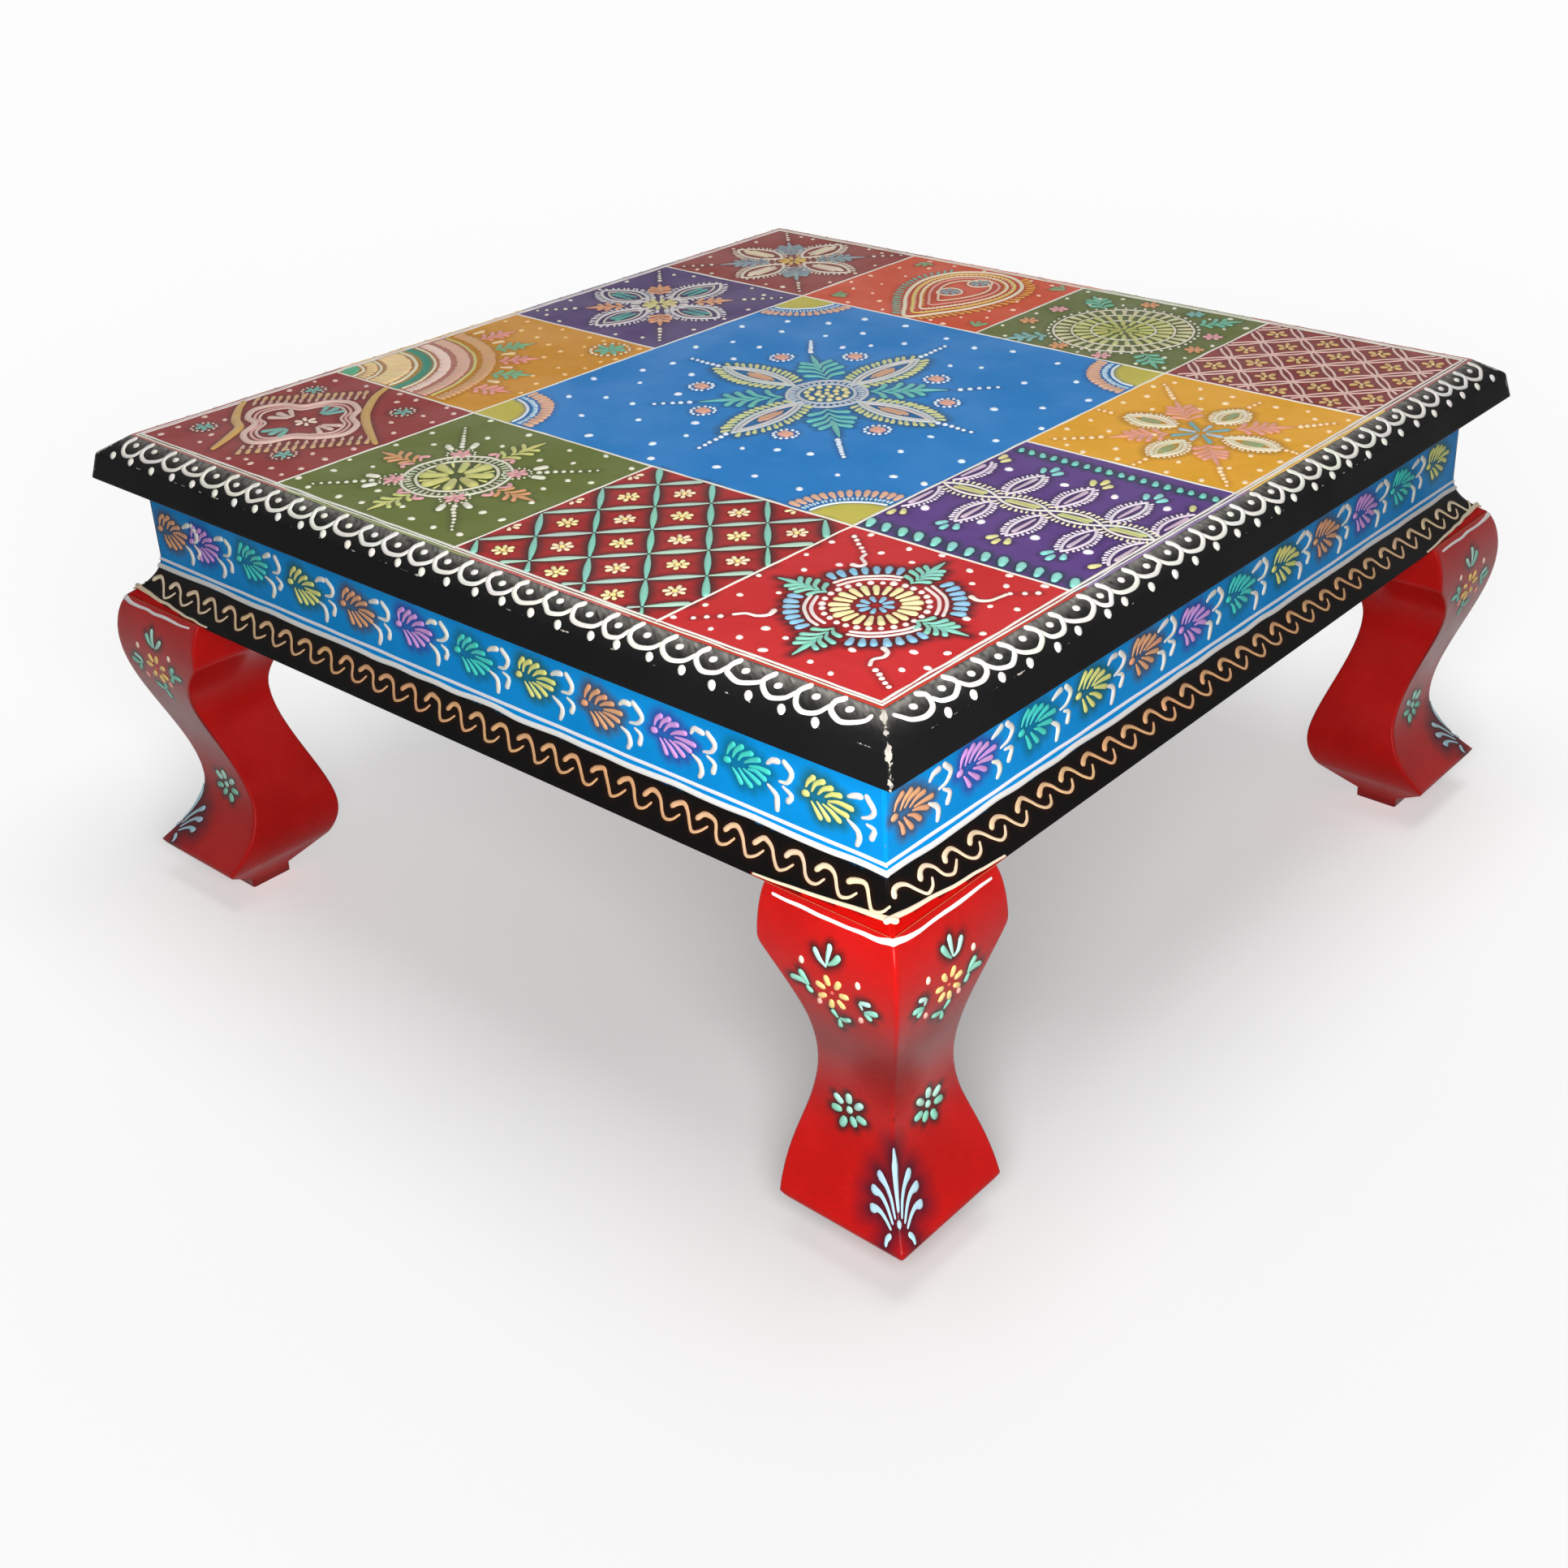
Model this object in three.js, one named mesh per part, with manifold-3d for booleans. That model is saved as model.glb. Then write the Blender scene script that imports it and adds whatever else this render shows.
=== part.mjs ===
// A bajot: a low square table with a painted top, mitred aprons and four square cabriole legs.
// Millimetres, +Z up. The origin is on the floor under the middle of the table.
// "Reach" is a distance out from the table's middle, "height" a distance up from the floor.

import * as THREE from 'three';
import { mergeVertices } from 'three/addons/utils/BufferGeometryUtils.js';
import Module from 'manifold-3d';

const wasm = await Module();
wasm.setup();

// The whole table
const tableWidth = 457.2;
const tableHeight = 228.6;

// The top: a thin panel let into four mitred edge mouldings
const topThickness = 19.4;
const bevelWidth = 11.6;
const bevelDrop = 7.3;
const fasciaLean = 2.7;
const panelThickness = 12;
const panelGap = 0.3;
const rebateWidth = 45;

// The aprons: four mitred rails whose lower edge flares out into a moulded foot
const topOverhang = 16.3;
const apronHeight = 56.8;
const apronThickness = 19;
const footFlare = 13;
const footHeight = 18.6;
const footHollowShare = 0.54;

// The legs: square blanks sawn to one S-shaped outline on both outer sides. A drop is measured
// down from the shoulder under the apron, a height up from the floor.
const glueGap = 0.3;
const postSize = 24.5;
const kneeBulge = 5.6;
const kneeDrop = 20.8;
const ankleRecess = 12.9;
const ankleHeight = 56.6;
const toeSpread = 5.3;
const toeHeight = 22.5;
const toeEdge = 2.4;
const straightDrop = 20.4;
const hollowDepth = 16.8;
const hollowDrop = 50.8;
const heelInset = 0.5;
const heelHeight = 36;
const padSize = 21;
const padHeight = 4.6;
const padSetback = 20.3;

// How full the sawn curves are, as shares of the rise and run between their ends
const bendShare = 0.33;
const kneeTopShare = 0.46;
const kneeEaseShare = 0.55;
const toeEaseShare = 0.41;
const toeTipShare = 0.2;
const toeSlopeShare = 0.17;
const hollowTopShare = 0.27;
const hollowRunShare = 0.54;
const hollowEaseShare = 0.38;
const heelEaseShare = 0.25;
const heelRoundShare = 0.5;
const heelRunShare = 0.41;
const heelSlopeShare = 0.2;

// Blocks and cleats that hold the legs and the top to the aprons
const blockLength = 72;
const blockHeight = 40;
const cleatSize = 16;
const cleatGap = 1;
const cleatScrewSpacing = 140;

// Slotted wood screws
const screwGap = 0.3;
const legScrewLength = 45;
const cleatScrewLength = 22;
const shankRadius = 2;
const headRadius = 4;
const headHeight = 2.6;
const screwTip = 6;
const slotWidth = 1.1;
const slotDepth = 1;

// Fineness of the curves and of a cut solid's corners, and how far a cutter runs past what it cuts
const curveSteps = 12;
const screwSides = 16;
const stepsPerMillimetre = 1000;
const cutOverrun = 2;

// Places that follow from the sizes above
const halfWidth = tableWidth / 2;
const creaseReach = halfWidth - fasciaLean;
const flatReach = creaseReach - bevelWidth;
const frameInnerReach = flatReach - rebateWidth;
const topUnderside = tableHeight - topThickness;
const panelUnderside = tableHeight - panelThickness;
const apronReach = halfWidth - topOverhang;
const apronInnerReach = apronReach - apronThickness;
const footReach = apronReach + footFlare;
const shoulderHeight = topUnderside - apronHeight;
const kneeHeight = shoulderHeight - kneeDrop;
const straightHeight = shoulderHeight - straightDrop;
const hollowHeight = shoulderHeight - hollowDrop;
const postReach = apronInnerReach - glueGap;
const legInnerReach = postReach - postSize;
const kneeReach = footReach + kneeBulge;
const ankleReach = footReach - ankleRecess;
const toeReach = footReach + toeSpread;
const hollowReach = legInnerReach + hollowDepth;
const heelReach = legInnerReach + heelInset;
const padReach = toeReach - padSetback;
const padInnerReach = padReach - padSize;
const blankReach = Math.max(kneeReach, toeReach) + cutOverrun;
const blockReach = apronInnerReach - glueGap;
const blockNotchReach = legInnerReach - glueGap;
const blockBottom = topUnderside - blockHeight;
const cleatBottom = topUnderside - cleatSize;
const cleatReach = apronInnerReach - cleatSize / 2;
const cleatLength = 2 * (blockReach - blockLength - cleatGap);
const legScrewReach = blockReach - blockLength / 2;
const legScrewHeight = blockBottom + blockHeight / 2;

const quarterTurn = Math.PI / 2;
const eighthTurn = Math.PI / 4;

// Painted and bare finishes
const topBlue = new THREE.MeshStandardMaterial({ color: 0x1d63b4, roughness: 0.5, metalness: 0 });
const edgeBlack = new THREE.MeshStandardMaterial({ color: 0x0f0f10, roughness: 0.45, metalness: 0 });
const apronBlue = new THREE.MeshStandardMaterial({ color: 0x1b83d2, roughness: 0.45, metalness: 0 });
const legRed = new THREE.MeshStandardMaterial({ color: 0xc4161a, roughness: 0.35, metalness: 0 });
const bareWood = new THREE.MeshStandardMaterial({ color: 0xb08a5c, roughness: 0.8, metalness: 0 });
const screwSteel = new THREE.MeshStandardMaterial({ color: 0x9a9a98, roughness: 0.4, metalness: 0.9 });

// A closed geometry as a solid that can be cut: corners merged, slivers on a lathe's axis dropped
function toSolid(geometry) {
  const bare = geometry.clone();
  bare.deleteAttribute('normal');
  bare.deleteAttribute('uv');
  const merged = mergeVertices(bare);
  const corners = merged.index.array;
  const triangles = [];
  for (let i = 0; i < corners.length; i += 3) {
    const [a, b, c] = corners.subarray(i, i + 3);
    if (a !== b && b !== c && c !== a) triangles.push(a, b, c);
  }
  return new wasm.Manifold(new wasm.Mesh({
    numProp: 3,
    vertProperties: merged.attributes.position.array,
    triVerts: new Uint32Array(triangles),
  }));
}

// A cut solid as a geometry, its corners rounded to a thousandth of a millimetre,
// so that faces that lay in one plane before the cut still do
function toGeometry(solid) {
  const { vertProperties, triVerts } = solid.getMesh();
  const geometry = new THREE.BufferGeometry();
  const rounded = (value) => Math.round(value * stepsPerMillimetre) / stepsPerMillimetre;
  const corners = Float32Array.from(vertProperties, rounded);
  geometry.setAttribute('position', new THREE.BufferAttribute(corners, 3));
  geometry.setIndex(new THREE.BufferAttribute(triVerts, 1));
  geometry.computeVertexNormals();
  return geometry;
}

function without(geometry, cutters) {
  return toGeometry(cutters.reduce((rest, cutter) => rest.subtract(toSolid(cutter)), toSolid(geometry)));
}

// A moulding along the right-hand side of the table. Its section is drawn as reach and height,
// and each end is cut at 45 degrees: a point lies as far along the side as it reaches out.
function mitredMoulding(section) {
  const geometry = new THREE.ExtrudeGeometry(section, {
    depth: 1,
    bevelEnabled: false,
    curveSegments: curveSteps,
  });
  const points = geometry.attributes.position;
  for (let i = 0; i < points.count; i += 1) {
    const end = points.getZ(i) > 0 ? 1 : -1;
    points.setZ(i, end * points.getX(i));
  }
  return geometry.rotateX(quarterTurn);
}

// The outline of a wood screw, turned round its axis: head face at zero, point upwards.
// A positive gap gives the hole for it, which runs out past the head.
function screwGeometry(length, gap) {
  const overrun = gap > 0 ? cutOverrun : 0;
  const outline = [
    new THREE.Vector2(0, -overrun),
    new THREE.Vector2(headRadius + gap, -overrun),
    ...(gap > 0 ? [new THREE.Vector2(headRadius + gap, 0)] : []),
    new THREE.Vector2(shankRadius + gap, headHeight),
    new THREE.Vector2(shankRadius + gap, length - screwTip),
    new THREE.Vector2(0, length + gap),
  ];
  return new THREE.LatheGeometry(outline, screwSides).rotateX(quarterTurn);
}

function woodScrew(length) {
  const slot = new THREE.BoxGeometry(slotWidth, headRadius * 2 + cutOverrun, slotDepth * 2);
  return without(screwGeometry(length, 0), [slot]);
}

// Places a screw, or its hole, in the leg: level, on the corner's diagonal
function atLegScrew(geometry) {
  return geometry
    .rotateY(quarterTurn)
    .rotateZ(eighthTurn)
    .translate(legScrewReach, legScrewReach, legScrewHeight);
}

// Places a screw, or its hole, upright under the cleat
function atCleatScrew(geometry, end) {
  return geometry.translate(cleatReach, (end * cleatScrewSpacing) / 2, cleatBottom);
}

// The top panel, which drops into the rebate of the four edge mouldings
function topPanel() {
  const width = 2 * (flatReach - panelGap);
  const centreHeight = tableHeight - panelThickness / 2;
  return new THREE.BoxGeometry(width, width, panelThickness).translate(0, 0, centreHeight);
}

// An edge moulding of the top: bevel, leaning fascia, and a wide rebate under the panel
function topEdge() {
  const section = new THREE.Shape();
  section.moveTo(flatReach, tableHeight);
  section.lineTo(flatReach, panelUnderside);
  section.lineTo(frameInnerReach, panelUnderside);
  section.lineTo(frameInnerReach, topUnderside);
  section.lineTo(halfWidth, topUnderside);
  section.lineTo(creaseReach, tableHeight - bevelDrop);
  section.closePath();
  const holes = [-1, 1].map((end) => atCleatScrew(screwGeometry(cleatScrewLength, screwGap), end));
  return without(mitredMoulding(section), holes);
}

// An apron rail: plain above, with a hollow foot moulding that meets the knees of the legs
function apronRail() {
  const footTop = shoulderHeight + footHeight;
  const section = new THREE.Shape();
  section.moveTo(apronInnerReach, shoulderHeight);
  section.lineTo(footReach, shoulderHeight);
  section.quadraticCurveTo(apronReach, footTop - footHollowShare * footHeight, apronReach, footTop);
  section.lineTo(apronReach, topUnderside);
  section.lineTo(apronInnerReach, topUnderside);
  section.closePath();
  return mitredMoulding(section);
}

// The outline that a leg is sawn to: post, knee, ankle and toe outside; hollow and heel inside
function legOutline() {
  const shinDrop = kneeHeight - ankleHeight;
  const ankleDrop = ankleHeight - toeHeight;
  const hollowRise = straightHeight - hollowHeight;
  const calfDrop = hollowHeight - heelHeight;
  const heelRun = padInnerReach - heelReach;
  const heelDrop = heelHeight - padHeight;
  const outline = new THREE.Shape();
  outline.moveTo(legInnerReach, topUnderside);
  outline.lineTo(legInnerReach, straightHeight);
  outline.bezierCurveTo(
    legInnerReach + hollowDepth * hollowRunShare, straightHeight - hollowRise * hollowTopShare,
    hollowReach, hollowHeight + hollowRise * hollowEaseShare,
    hollowReach, hollowHeight,
  );
  outline.bezierCurveTo(
    hollowReach, hollowHeight - calfDrop * bendShare,
    heelReach, heelHeight + calfDrop * heelEaseShare,
    heelReach, heelHeight,
  );
  outline.bezierCurveTo(
    heelReach, heelHeight - heelDrop * heelRoundShare,
    padInnerReach - heelRun * heelRunShare, padHeight + heelDrop * heelSlopeShare,
    padInnerReach, padHeight,
  );
  outline.lineTo(padInnerReach, 0);
  outline.lineTo(padReach, 0);
  outline.lineTo(padReach, padHeight);
  outline.lineTo(toeReach - toeEdge / 2, toeHeight - toeEdge);
  outline.lineTo(toeReach, toeHeight);
  outline.bezierCurveTo(
    toeReach - ankleDrop * toeSlopeShare, toeHeight + ankleDrop * toeTipShare,
    ankleReach, ankleHeight - ankleDrop * toeEaseShare,
    ankleReach, ankleHeight,
  );
  outline.bezierCurveTo(
    ankleReach, ankleHeight + shinDrop * bendShare,
    kneeReach, kneeHeight - shinDrop * bendShare,
    kneeReach, kneeHeight,
  );
  outline.bezierCurveTo(
    kneeReach, kneeHeight + kneeDrop * kneeTopShare,
    footReach + kneeBulge * kneeEaseShare, shoulderHeight - kneeBulge * kneeTopShare,
    footReach, shoulderHeight,
  );
  outline.lineTo(postReach, shoulderHeight);
  outline.lineTo(postReach, topUnderside);
  outline.closePath();
  return outline;
}

// A leg: the blank sawn to the outline from one side, and then from the other
function cabrioleLeg() {
  const firstCut = new THREE.ExtrudeGeometry(legOutline(), {
    depth: blankReach,
    bevelEnabled: false,
    curveSegments: curveSteps,
  }).rotateX(quarterTurn);
  const secondCut = firstCut.clone().rotateZ(quarterTurn);
  firstCut.translate(0, blankReach, 0);
  const hole = atLegScrew(screwGeometry(legScrewLength, screwGap));
  return toGeometry(toSolid(firstCut).intersect(toSolid(secondCut)).subtract(toSolid(hole)));
}

// A corner block, notched round the leg's post and screwed to it
function cornerBlock() {
  const plan = new THREE.Shape();
  plan.moveTo(blockReach, blockReach - blockLength);
  plan.lineTo(blockReach, blockNotchReach);
  plan.lineTo(blockNotchReach, blockNotchReach);
  plan.lineTo(blockNotchReach, blockReach);
  plan.lineTo(blockReach - blockLength, blockReach);
  plan.closePath();
  const block = new THREE.ExtrudeGeometry(plan, { depth: blockHeight, bevelEnabled: false });
  block.translate(0, 0, blockBottom);
  return without(block, [atLegScrew(screwGeometry(legScrewLength, screwGap))]);
}

// A square cleat, glued to the apron and screwed up into the top's frame
function topCleat() {
  const cleat = new THREE.BoxGeometry(cleatSize, cleatLength, cleatSize);
  cleat.translate(cleatReach, 0, cleatBottom + cleatSize / 2);
  const holes = [-1, 1].map((end) => atCleatScrew(screwGeometry(cleatScrewLength, screwGap), end));
  return without(cleat, holes);
}

function piece(name, geometry, material) {
  const mesh = new THREE.Mesh(geometry, material);
  mesh.name = name;
  return mesh;
}

// The table is one quarter, made for its right-hand side and back right corner, turned four times
const sides = ['right', 'back', 'left', 'front'];
const corners = ['back_right', 'back_left', 'front_left', 'front_right'];
const edge = topEdge();
const rail = apronRail();
const leg = cabrioleLeg();
const block = cornerBlock();
const cleat = topCleat();
const legScrew = atLegScrew(woodScrew(legScrewLength));
const cleatScrews = [-1, 1].map((end) => atCleatScrew(woodScrew(cleatScrewLength), end));

const table = new THREE.Group();
table.add(piece('top_panel', topPanel(), topBlue));
sides.forEach((side, turn) => {
  const corner = corners[turn];
  const quarter = new THREE.Group();
  quarter.add(piece(`top_edge_${side}`, edge, edgeBlack));
  quarter.add(piece(`apron_${side}`, rail, apronBlue));
  quarter.add(piece(`leg_${corner}`, leg, legRed));
  quarter.add(piece(`corner_block_${corner}`, block, bareWood));
  quarter.add(piece(`leg_screw_${corner}`, legScrew, screwSteel));
  quarter.add(piece(`top_cleat_${side}`, cleat, bareWood));
  cleatScrews.forEach((screw, i) => {
    quarter.add(piece(`cleat_screw_${side}_${i + 1}`, screw, screwSteel));
  });
  quarter.rotation.z = turn * quarterTurn;
  table.add(quarter);
});

export default table;
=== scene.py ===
import math

import bpy
import numpy as np
from mathutils import Matrix, Vector
from mathutils.kdtree import KDTree


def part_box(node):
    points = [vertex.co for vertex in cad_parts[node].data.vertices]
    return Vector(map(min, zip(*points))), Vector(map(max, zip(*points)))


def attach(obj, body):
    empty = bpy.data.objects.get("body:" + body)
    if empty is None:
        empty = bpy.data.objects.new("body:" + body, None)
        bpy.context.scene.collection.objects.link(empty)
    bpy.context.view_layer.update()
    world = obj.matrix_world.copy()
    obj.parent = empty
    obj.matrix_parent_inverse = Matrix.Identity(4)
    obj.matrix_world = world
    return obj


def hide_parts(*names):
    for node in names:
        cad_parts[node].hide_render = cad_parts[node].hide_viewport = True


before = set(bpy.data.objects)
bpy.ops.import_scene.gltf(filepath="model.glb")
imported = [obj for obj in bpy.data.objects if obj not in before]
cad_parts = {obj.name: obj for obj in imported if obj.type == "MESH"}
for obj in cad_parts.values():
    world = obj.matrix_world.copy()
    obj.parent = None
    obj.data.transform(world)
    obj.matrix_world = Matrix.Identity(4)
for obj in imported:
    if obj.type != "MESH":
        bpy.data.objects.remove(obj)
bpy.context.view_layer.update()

# The view: the eye stands off the table's front right corner, a little above it.
# Angles are in degrees and places in metres. The picture's own places are in its pixels.
picture_width = 1932
focal_pixels = 2465
axis_pixel_x, axis_pixel_y = 1045, 800
azimuth, elevation, roll = (math.radians(a) for a in (40.98, 26.21, -1.89))
eye = Vector((0.5714, -0.6412, 0.5239))

back = Vector((math.sin(azimuth) * math.cos(elevation), -math.cos(azimuth) * math.cos(elevation),
               math.sin(elevation)))
level = Vector((math.cos(azimuth), math.sin(azimuth), 0))
upright = back.cross(level)
right = level * math.cos(roll) + upright * math.sin(roll)
up = upright * math.cos(roll) - level * math.sin(roll)
camera = bpy.data.objects.new("camera", bpy.data.cameras.new("camera"))
bpy.context.scene.collection.objects.link(camera)
camera.matrix_world = Matrix.Translation(eye) @ Matrix((right, up, back)).transposed().to_4x4()
camera.data.lens = camera.data.sensor_width * focal_pixels / picture_width
camera.data.shift_x = 0.5 - axis_pixel_x / picture_width
camera.data.shift_y = axis_pixel_y / picture_width - 0.5
bpy.context.scene.camera = camera

# Corner blocks and cleats: pale unpainted wood, sawn and glued inside the frame. The grain is
# noise drawn out along each piece's own length, with darker growth lines.
mm = 0.001
corners = ("back_right", "back_left", "front_left", "front_right")
sides = ("right", "back", "left", "front")


def colour(code):
    """A colour written as six hexadecimal digits, as the shader's own red, green and blue."""
    shares = [int(code[i:i + 2], 16) / 255 for i in (0, 2, 4)]
    return (*((s / 12.92 if s <= 0.04045 else ((s + 0.055) / 1.055) ** 2.4) for s in shares), 1)


def node(tree, kind, values=None, **settings):
    """Adds a node. A value is a number, a colour or the output of another node."""
    made = tree.nodes.new(kind)
    for name, value in settings.items():
        setattr(made, name, value)
    for name, value in (values or {}).items():
        if isinstance(value, bpy.types.NodeSocket):
            tree.links.new(value, made.inputs[name])
        else:
            made.inputs[name].default_value = value
    return made


def group_tree(name, kind, inputs, outputs):
    """A node group with named sockets, its input and output nodes."""
    tree = bpy.data.node_groups.new(name, kind)
    for socket, (socket_kind, value) in inputs.items():
        item = tree.interface.new_socket(socket, in_out="INPUT", socket_type=socket_kind)
        if value is not None:
            item.default_value = value
    for socket, socket_kind in outputs.items():
        tree.interface.new_socket(socket, in_out="OUTPUT", socket_type=socket_kind)
    return tree, tree.nodes.new("NodeGroupInput").outputs, tree.nodes.new("NodeGroupOutput")


def math_node(tree, operation, a, b=0.0):
    return node(tree, "ShaderNodeMath", {0: a, 1: b}, operation=operation).outputs[0]


def blend(tree, share, a, b, how="MIX"):
    return node(tree, "ShaderNodeMix", {0: share, 6: a, 7: b}, data_type="RGBA",
                blend_type=how).outputs[2]


def noise(tree, vector, scale, detail=2.0, stretch=(1, 1, 1)):
    stretched = node(tree, "ShaderNodeMapping", {"Vector": vector, "Scale": stretch}).outputs[0]
    values = {"Vector": stretched, "Scale": scale, "Detail": detail}
    return node(tree, "ShaderNodeTexNoise", values).outputs["Fac"]


def ramp(tree, value, low, high, to_low=0.0, to_high=1.0):
    return node(tree, "ShaderNodeMapRange", {"Value": value, "From Min": low, "From Max": high,
                "To Min": to_low, "To Max": to_high}, interpolation_type="SMOOTHSTEP").outputs[0]


COLOUR, VALUE, VECTOR = "NodeSocketColor", "NodeSocketFloat", "NodeSocketVector"


def wood_grain_group():
    tree, given, out = group_tree("wood grain", "ShaderNodeTree",
                                  {"Pale": (COLOUR, colour("c09a68")), "Dark": (COLOUR, colour("8a6238")),
                                   "Run": (VECTOR, (8.0, 1.0, 8.0))},
                                  {"Colour": COLOUR, "Roughness": VALUE, "Height": VALUE})
    place = node(tree, "ShaderNodeTexCoord").outputs["Object"]
    run = node(tree, "ShaderNodeVectorMath", {0: place, 1: given["Run"]}, operation="MULTIPLY").outputs[0]
    broad = node(tree, "ShaderNodeTexNoise", {"Vector": run, "Scale": 14.0, "Detail": 3.0}).outputs["Fac"]
    fine = node(tree, "ShaderNodeTexNoise", {"Vector": run, "Scale": 90.0, "Detail": 2.0}).outputs["Fac"]
    rings = math_node(tree, "FRACT", math_node(tree, "MULTIPLY", broad, 6.0))
    share = math_node(tree, "MULTIPLY", rings, fine)
    tree.links.new(blend(tree, share, given["Pale"], given["Dark"]), out.inputs["Colour"])
    tree.links.new(ramp(tree, fine, 0.3, 0.7, 0.65, 0.85), out.inputs["Roughness"])
    tree.links.new(share, out.inputs["Height"])
    return tree


def material(name, shine=0.5):
    """A material with its tree and its shader, whose plain values are set on its own sockets."""
    made = bpy.data.materials.new(name)
    made.use_nodes = True
    shader = made.node_tree.nodes["Principled BSDF"]
    shader.inputs["Specular IOR Level"].default_value = shine
    return made, made.node_tree, shader


def finish_with(tree, shader, colour_from, roughness_from, height_from, depth):
    bump = node(tree, "ShaderNodeBump", {"Height": height_from, "Distance": depth})
    tree.links.new(colour_from, shader.inputs["Base Color"])
    tree.links.new(roughness_from, shader.inputs["Roughness"])
    tree.links.new(bump.outputs[0], shader.inputs["Normal"])


wood_grain = wood_grain_group()
grain_depth = 0.2 * mm


def bare_wood(name, run):
    """Unpainted wood. Its grain runs along the axis on which the noise is stretched least."""
    made, tree, shader = material(name, shine=0.3)
    grain = node(tree, "ShaderNodeGroup", {"Run": run}, node_tree=wood_grain)
    finish_with(tree, shader, grain.outputs["Colour"], grain.outputs["Roughness"], grain.outputs["Height"],
                grain_depth)
    return made


def dress(node_name, finish):
    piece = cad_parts[node_name]
    piece.data.materials.clear()
    piece.data.materials.append(finish)


along_x = bare_wood("sawn wood along x", (1.0, 8.0, 8.0))
along_y = bare_wood("sawn wood along y", (8.0, 1.0, 8.0))
for corner in corners:
    dress("corner_block_" + corner, along_x)
for side in sides:
    dress("top_cleat_" + side, along_y if side in ("right", "left") else along_x)

# Wood screws: plain turned steel, slotted, driven through the blocks and cleats.
# Dull grey with fine turning marks and a little rust in them.
screw_steel, tree, shader = material("turned steel")
shader.inputs["Metallic"].default_value = 0.9
place = node(tree, "ShaderNodeTexCoord").outputs["Object"]
turning = noise(tree, place, 900.0)
turning_depth = 0.05 * mm
rust = ramp(tree, noise(tree, place, 260.0), 0.55, 0.7)
finish_with(tree, shader, blend(tree, rust, colour("a3a29e"), colour("6b4a34")),
            ramp(tree, turning, 0.3, 0.7, 0.3, 0.55), turning, turning_depth)
for corner in corners:
    dress("leg_screw_" + corner, screw_steel)
for side in sides:
    for count in "12":
        dress(f"cleat_screw_{side}_{count}", screw_steel)

# Legs: square cabriole legs, sawn to one S-shaped line on two faces and smoothed by hand.
# The arrises are eased. Below the shoulder they are lacquered red, and the posts are left bare.
# The red is darkened round the narrow part below the knee as painted shade, where the knee's shadow falls.
arris_round = 1.1 * mm
ring_step = 1.6 * mm
face_steps = 34
corner_steps = 4
quarter_turn = math.pi / 2


def corner_section(node_name):
    """The points of a node's section on the table's diagonal, as reach and height, from the top down."""
    found = {(round(v.co.x / mm, 2), round(v.co.z / mm, 2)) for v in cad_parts[node_name].data.vertices
             if abs(v.co.x - abs(v.co.y)) < 0.01 * mm and v.co.x > 0}
    return np.array(sorted(found, key=lambda point: (-point[1], point[0]))) * mm


def turned(points, turn):
    """Points of the right-hand side, or of the back right corner, turned to another one."""
    x, y, z = points.T
    for _ in range(turn):
        x, y = -y, x
    return np.stack([x, y, z], 1)


def stacked(name, rings, finishes, finish_of):
    """A closed mesh of rings of points laid on each other, with a face at each end."""
    rings = np.asarray(rings)
    count, around = rings.shape[:2]
    level, column = np.meshgrid(np.arange(count - 1), np.arange(around), indexing="ij")
    after = (column + 1) % around
    quads = np.stack([level * around + column, level * around + after, (level + 1) * around + after,
                      (level + 1) * around + column], -1).reshape(-1, 4)
    faces = [*quads.tolist(), list(range(around))[::-1], list(range((count - 1) * around, count * around))]
    mesh = bpy.data.meshes.new(name)
    mesh.from_pydata(rings.reshape(-1, 3).tolist(), [], faces)
    mesh.shade_smooth()
    for finish in finishes:
        mesh.materials.append(finish)
    slots = np.array([finish_of(i // around, i % around) for i in range(len(quads))] + [0, 0])
    mesh.polygons.foreach_set("material_index", slots)
    piece = bpy.data.objects.new(name, mesh)
    bpy.context.scene.collection.objects.link(piece)
    return piece


def corners_of(piece):
    points = np.empty(len(piece.data.vertices) * 3, np.float32)
    piece.data.vertices.foreach_get("co", points)
    return points.reshape(-1, 3).astype(float)


def bell(distance, width):
    """One at no distance, fading away over a width."""
    return np.exp(-(distance / width) ** 2)


def toned(code, other, share):
    """Colours between two paint codes, by the share of the other at each point."""
    first, second = np.array(colour(code)), np.array(colour(other))
    return first + (second - first) * share[:, None]


def set_paint(piece, paint, edge):
    """Keeps the painted colour of each point of a mesh, and how near it is to a worn edge."""
    layer = piece.data.attributes.new("paint", "FLOAT_COLOR", "POINT")
    layer.data.foreach_set("color", np.asarray(paint, np.float32).ravel())
    layer = piece.data.attributes.new("edge", "FLOAT", "POINT")
    layer.data.foreach_set("value", np.asarray(edge, np.float32).ravel())


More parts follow.
